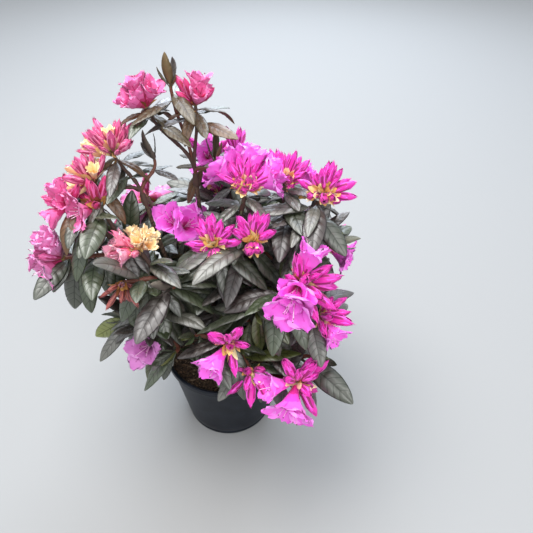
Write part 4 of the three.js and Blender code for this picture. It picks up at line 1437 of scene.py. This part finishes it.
def build_leaves(leaves, shoots, materials):
    """The leaves in pieces of whole masses, each closed once it has enough triangles."""
    clear = [leaf for leaf in leaves if not is_in_the_way(leaf, shoots)]
    heaps = []
    for number, mass in enumerate(MASSES):
        if not heaps or heaps[-1][0].triangles() > LEAF_PIECE_TRIANGLES:
            heaps.append((Heap(), []))
        heap, names = heaps[-1]
        names.append(mass.name)
        for growing in shoots:
            if growing.mass == number:
                add_end_leaves(heap, growing, materials)
        for leaf in clear:
            if leaf.growing.mass == number:
                add_twig_leaf(heap, leaf, mass, materials)
    for number, (heap, names) in enumerate(heaps, 1):
        heap.build(f"leaves_{number}", "foliage", names)


# Blossom


def bud_form(habit, axis, draw):
    """A bud's form: the low and front ones of a fan are still small, and a golden head fades on its top."""
    is_small = axis[2] < LOW_BUD_SLOPE or axis @ FRONT > FRONT_BUDS
    if habit in ("fan", "crown") and is_small and draw < SMALL_SHARE:
        return "closed"
    if habit == "gold" and axis @ WITHERED_SIDE < 0.1:
        return "wither"
    names = HABITS[habit].buds
    return names[int(draw * len(names))]


def leaned(growing, form):
    """A form with its axis turned towards the front or away from it, and lifted, by its truss's habit."""
    name, axis, size = form
    habit = HABITS[growing.shoot.habit]
    turned = habit.turn * (1 if habit.turn > 0 else max(0, axis @ FRONT))
    lift = habit.lift if COROLLAS[name].is_open else habit.rise
    return name, unit(axis + FRONT * turned + UP * lift), size


def forms_of(blossom):
    """The corollas that a flower or bud place of the solids is dressed with, each with its axis and size."""
    habit, seed = blossom.growing.shoot.habit, (blossom.growing.key, blossom.index)
    draw, names = chance(*seed, 51), HABITS[habit].flowers
    is_flower = blossom.kind == "flower"
    name = names[int(draw * len(names))] if is_flower else bud_form(habit, blossom.axis, draw)
    if habit == "crown" and name == "open" and blossom.axis @ FRONT > 0.45:
        name = "sheaf"
    if name != "sheaf":
        return [(name, blossom.axis, blossom.size)]
    forms = []
    for lean in range(4):
        tilt = math.radians(lerp(8, 22, chance(*seed, 53, lean)))
        axis = toward(blossom.axis, tilt, lean * math.pi / 2 + blossom.index)
        size = blossom.size * lerp(0.78, 1, chance(*seed, 54, lean))
        forms.append((bud_form(habit, axis, chance(*seed, 52, lean)), axis, size))
    return forms


def extra_forms(growing):
    """Buds added between the places of the solids, within the same fan."""
    bloom, habit, key = BLOOMS[growing.shoot.bloom], growing.shoot.habit, growing.key
    cap, count = 1 - math.cos(math.radians(max(bloom.fan, 50) * 0.94)), HABITS[habit].extra
    forms = []
    for index in range(count):
        tilt = math.acos(1 - cap * (index + 0.5) / count)
        axis = toward(growing.axis, tilt, index * GOLDEN_ANGLE + key + 1.3)
        name = bud_form(habit, axis, chance(key, index, 55))
        size = bloom.size * lerp(0.72, 0.98, chance(key, index, 56))
        if habit == "crown":
            size *= 0.92
            if axis @ FRONT < 0.3 and index % 2:
                name, size = "half", bloom.size * 1.08
        forms.append((name, axis, size))
    return forms


def truss_forms(growing, blossoms):
    """Every form on a truss, those that face a set way first."""
    rows = FACING.get(f"{MASSES[growing.mass].name} {growing.key % 10}", {}).items()
    faced = {
        place: (name, unit(np.array(axis)), size) for name, places in rows for place, size, *axis in places
    }
    grown = [
        form
        for blossom in blossoms
        if blossom.growing is growing and blossom.index not in faced
        for form in forms_of(blossom)
    ]
    free = [leaned(growing, form) for form in grown + extra_forms(growing)]
    return [faced[place] for place in sorted(faced)] + free


def petal_hue(hue, name):
    if name == "wither":
        return "cream"
    if hue == "magenta" and not COROLLAS[name].is_open:
        return "magenta_closed" if name == "closed" else "magenta_bud"
    return hue


def add_blossom(heaps, growing, index, form, colours):
    """A flower or bud on its short stalk, with its stamens and bud scales."""
    name, axis, size = form
    corolla, habit = COROLLAS[name], HABITS[growing.shoot.habit]
    seed, turn = growing.key + 0.37 * index, growing.key + index * 1.7
    tip = growing.curve.point(1)
    base = tip + axis * (KNOB.radius * 0.5 + habit.outward)
    stalk = Curve.straight(tip - growing.axis, base + axis * 2)
    add_tube(heaps.scales, rings_along(stalk, 2, 5, taper(1, 1.2 * size)), colours.stalk)
    heap = heaps.open_petals if corolla.is_open else heaps.folded_petals
    where = (corolla, base, axis, turn, size, seed)
    add_corolla(heap, *where, colours.petals[petal_hue(growing.shoot.hue, name)])
    add_stamens(heaps.stamens, *where, *colours.thread)
    count = habit.scales + (2 if name == "closed" else 0)
    for scale in range(count):
        outward = spoke(axis, turn + (scale + chance(seed, scale, 57)) / count * TURN)
        length = habit.scale_size * lerp(9, 14, chance(seed, scale, 58))
        width, flare = 3.1 * habit.scale_size, lerp(0, 3, chance(seed, scale, 60))
        material = colours.scales[int(chance(seed, scale, 59) * len(colours.scales))]
        add_scale(heaps.scales, base, axis, outward, length, width, flare, material)


def build_blossom(blossoms, shoots):
    petals = petal_materials()
    scales = {
        name: [
            shader(f"scale_{name}_{index}", colour, 0.5, Subsurface_Weight=0.1)
            for index, colour in enumerate(colours)
        ]
        for name, colours in SCALE_COLOURS.items()
    }
    thread = (shader("filament", (250, 208, 234), 0.5), shader("anther", (120, 70, 84), 0.6))
    stalk = shader("flower_stalk", (128, 108, 66), 0.6)
    heaps = Named(open_petals=Heap(), folded_petals=Heap(), scales=Heap(), stamens=Heap())
    for growing in shoots:
        if growing.shoot.hue:
            own_scales = scales[SCALE_HUES.get(growing.shoot.hue, "rust")]
            colours = Named(petals=petals, scales=own_scales, thread=thread, stalk=stalk)
            for index, form in enumerate(truss_forms(growing, blossoms)):
                add_blossom(heaps, growing, index, form, colours)
    heaps.open_petals.build("petals_open", "foliage", MASS_NAMES)
    heaps.folded_petals.build("petals_folded", "foliage", MASS_NAMES)
    heaps.scales.build("calyces", "foliage", MASS_NAMES)
    heaps.stamens.build("stamens", "foliage", MASS_NAMES)


def build_plant():
    """Grows the crown as the source does, then the finer twigs and leaves, and dresses them."""
    curves, crown = limb_curves(), Crown()
    hold_limbs(crown, curves)
    stems, shoots = grow_twigs(crown, curves)
    sides = side_shoots(curves)
    blossoms = [form for growing in shoots for form in grow_truss(crown, growing)]
    leaves = [leaf for growing in shoots for leaf in grow_leaves(crown, growing)]
    leaves += [
        leaf
        for growing in shoots
        for leaf in grow_leaves(crown, growing, 0.72, 0.5, 0.7)
        if chance(leaf.key, leaf.index, 61) < MASSES[growing.mass].young
    ]
    leaves += [leaf for growing in sides for leaf in grow_leaves(crown, growing, SIDE.leaf_scale, 0, 0.5)]
    build_limbs(curves, patterned("bark", (58, 44, 36), (112, 90, 74), 420, 0.8, 0.0004))
    brown, green = shader("twig_brown", (84, 64, 56), 0.75), shader("twig_young", (112, 66, 52), 0.55)
    build_twigs(stems, shoots, sides, brown, green)
    build_leaves(leaves, shoots, leaf_materials())
    build_blossom(blossoms, shoots)


def build_filled_pot():
    look = {"Specular_IOR_Level": 0.25}
    build_pot(patterned("pot_plastic", (20, 24, 32), (30, 34, 42), 60, 0.46, 0.00004, **look))
    build_mix_surface(patterned("earth", (48, 36, 28), (96, 76, 58), 350, 1, 0.0015))
    colours = ((78, 60, 46), (98, 76, 58), (52, 40, 32), (124, 106, 86))
    build_crumbs([shader(f"crumb_{index}", colour, 0.95) for index, colour in enumerate(colours)])
    build_moss(shader("moss", (86, 104, 44), 0.9))


add_camera()
add_surroundings()
add_lights()
build_plant()
build_filled_pot()
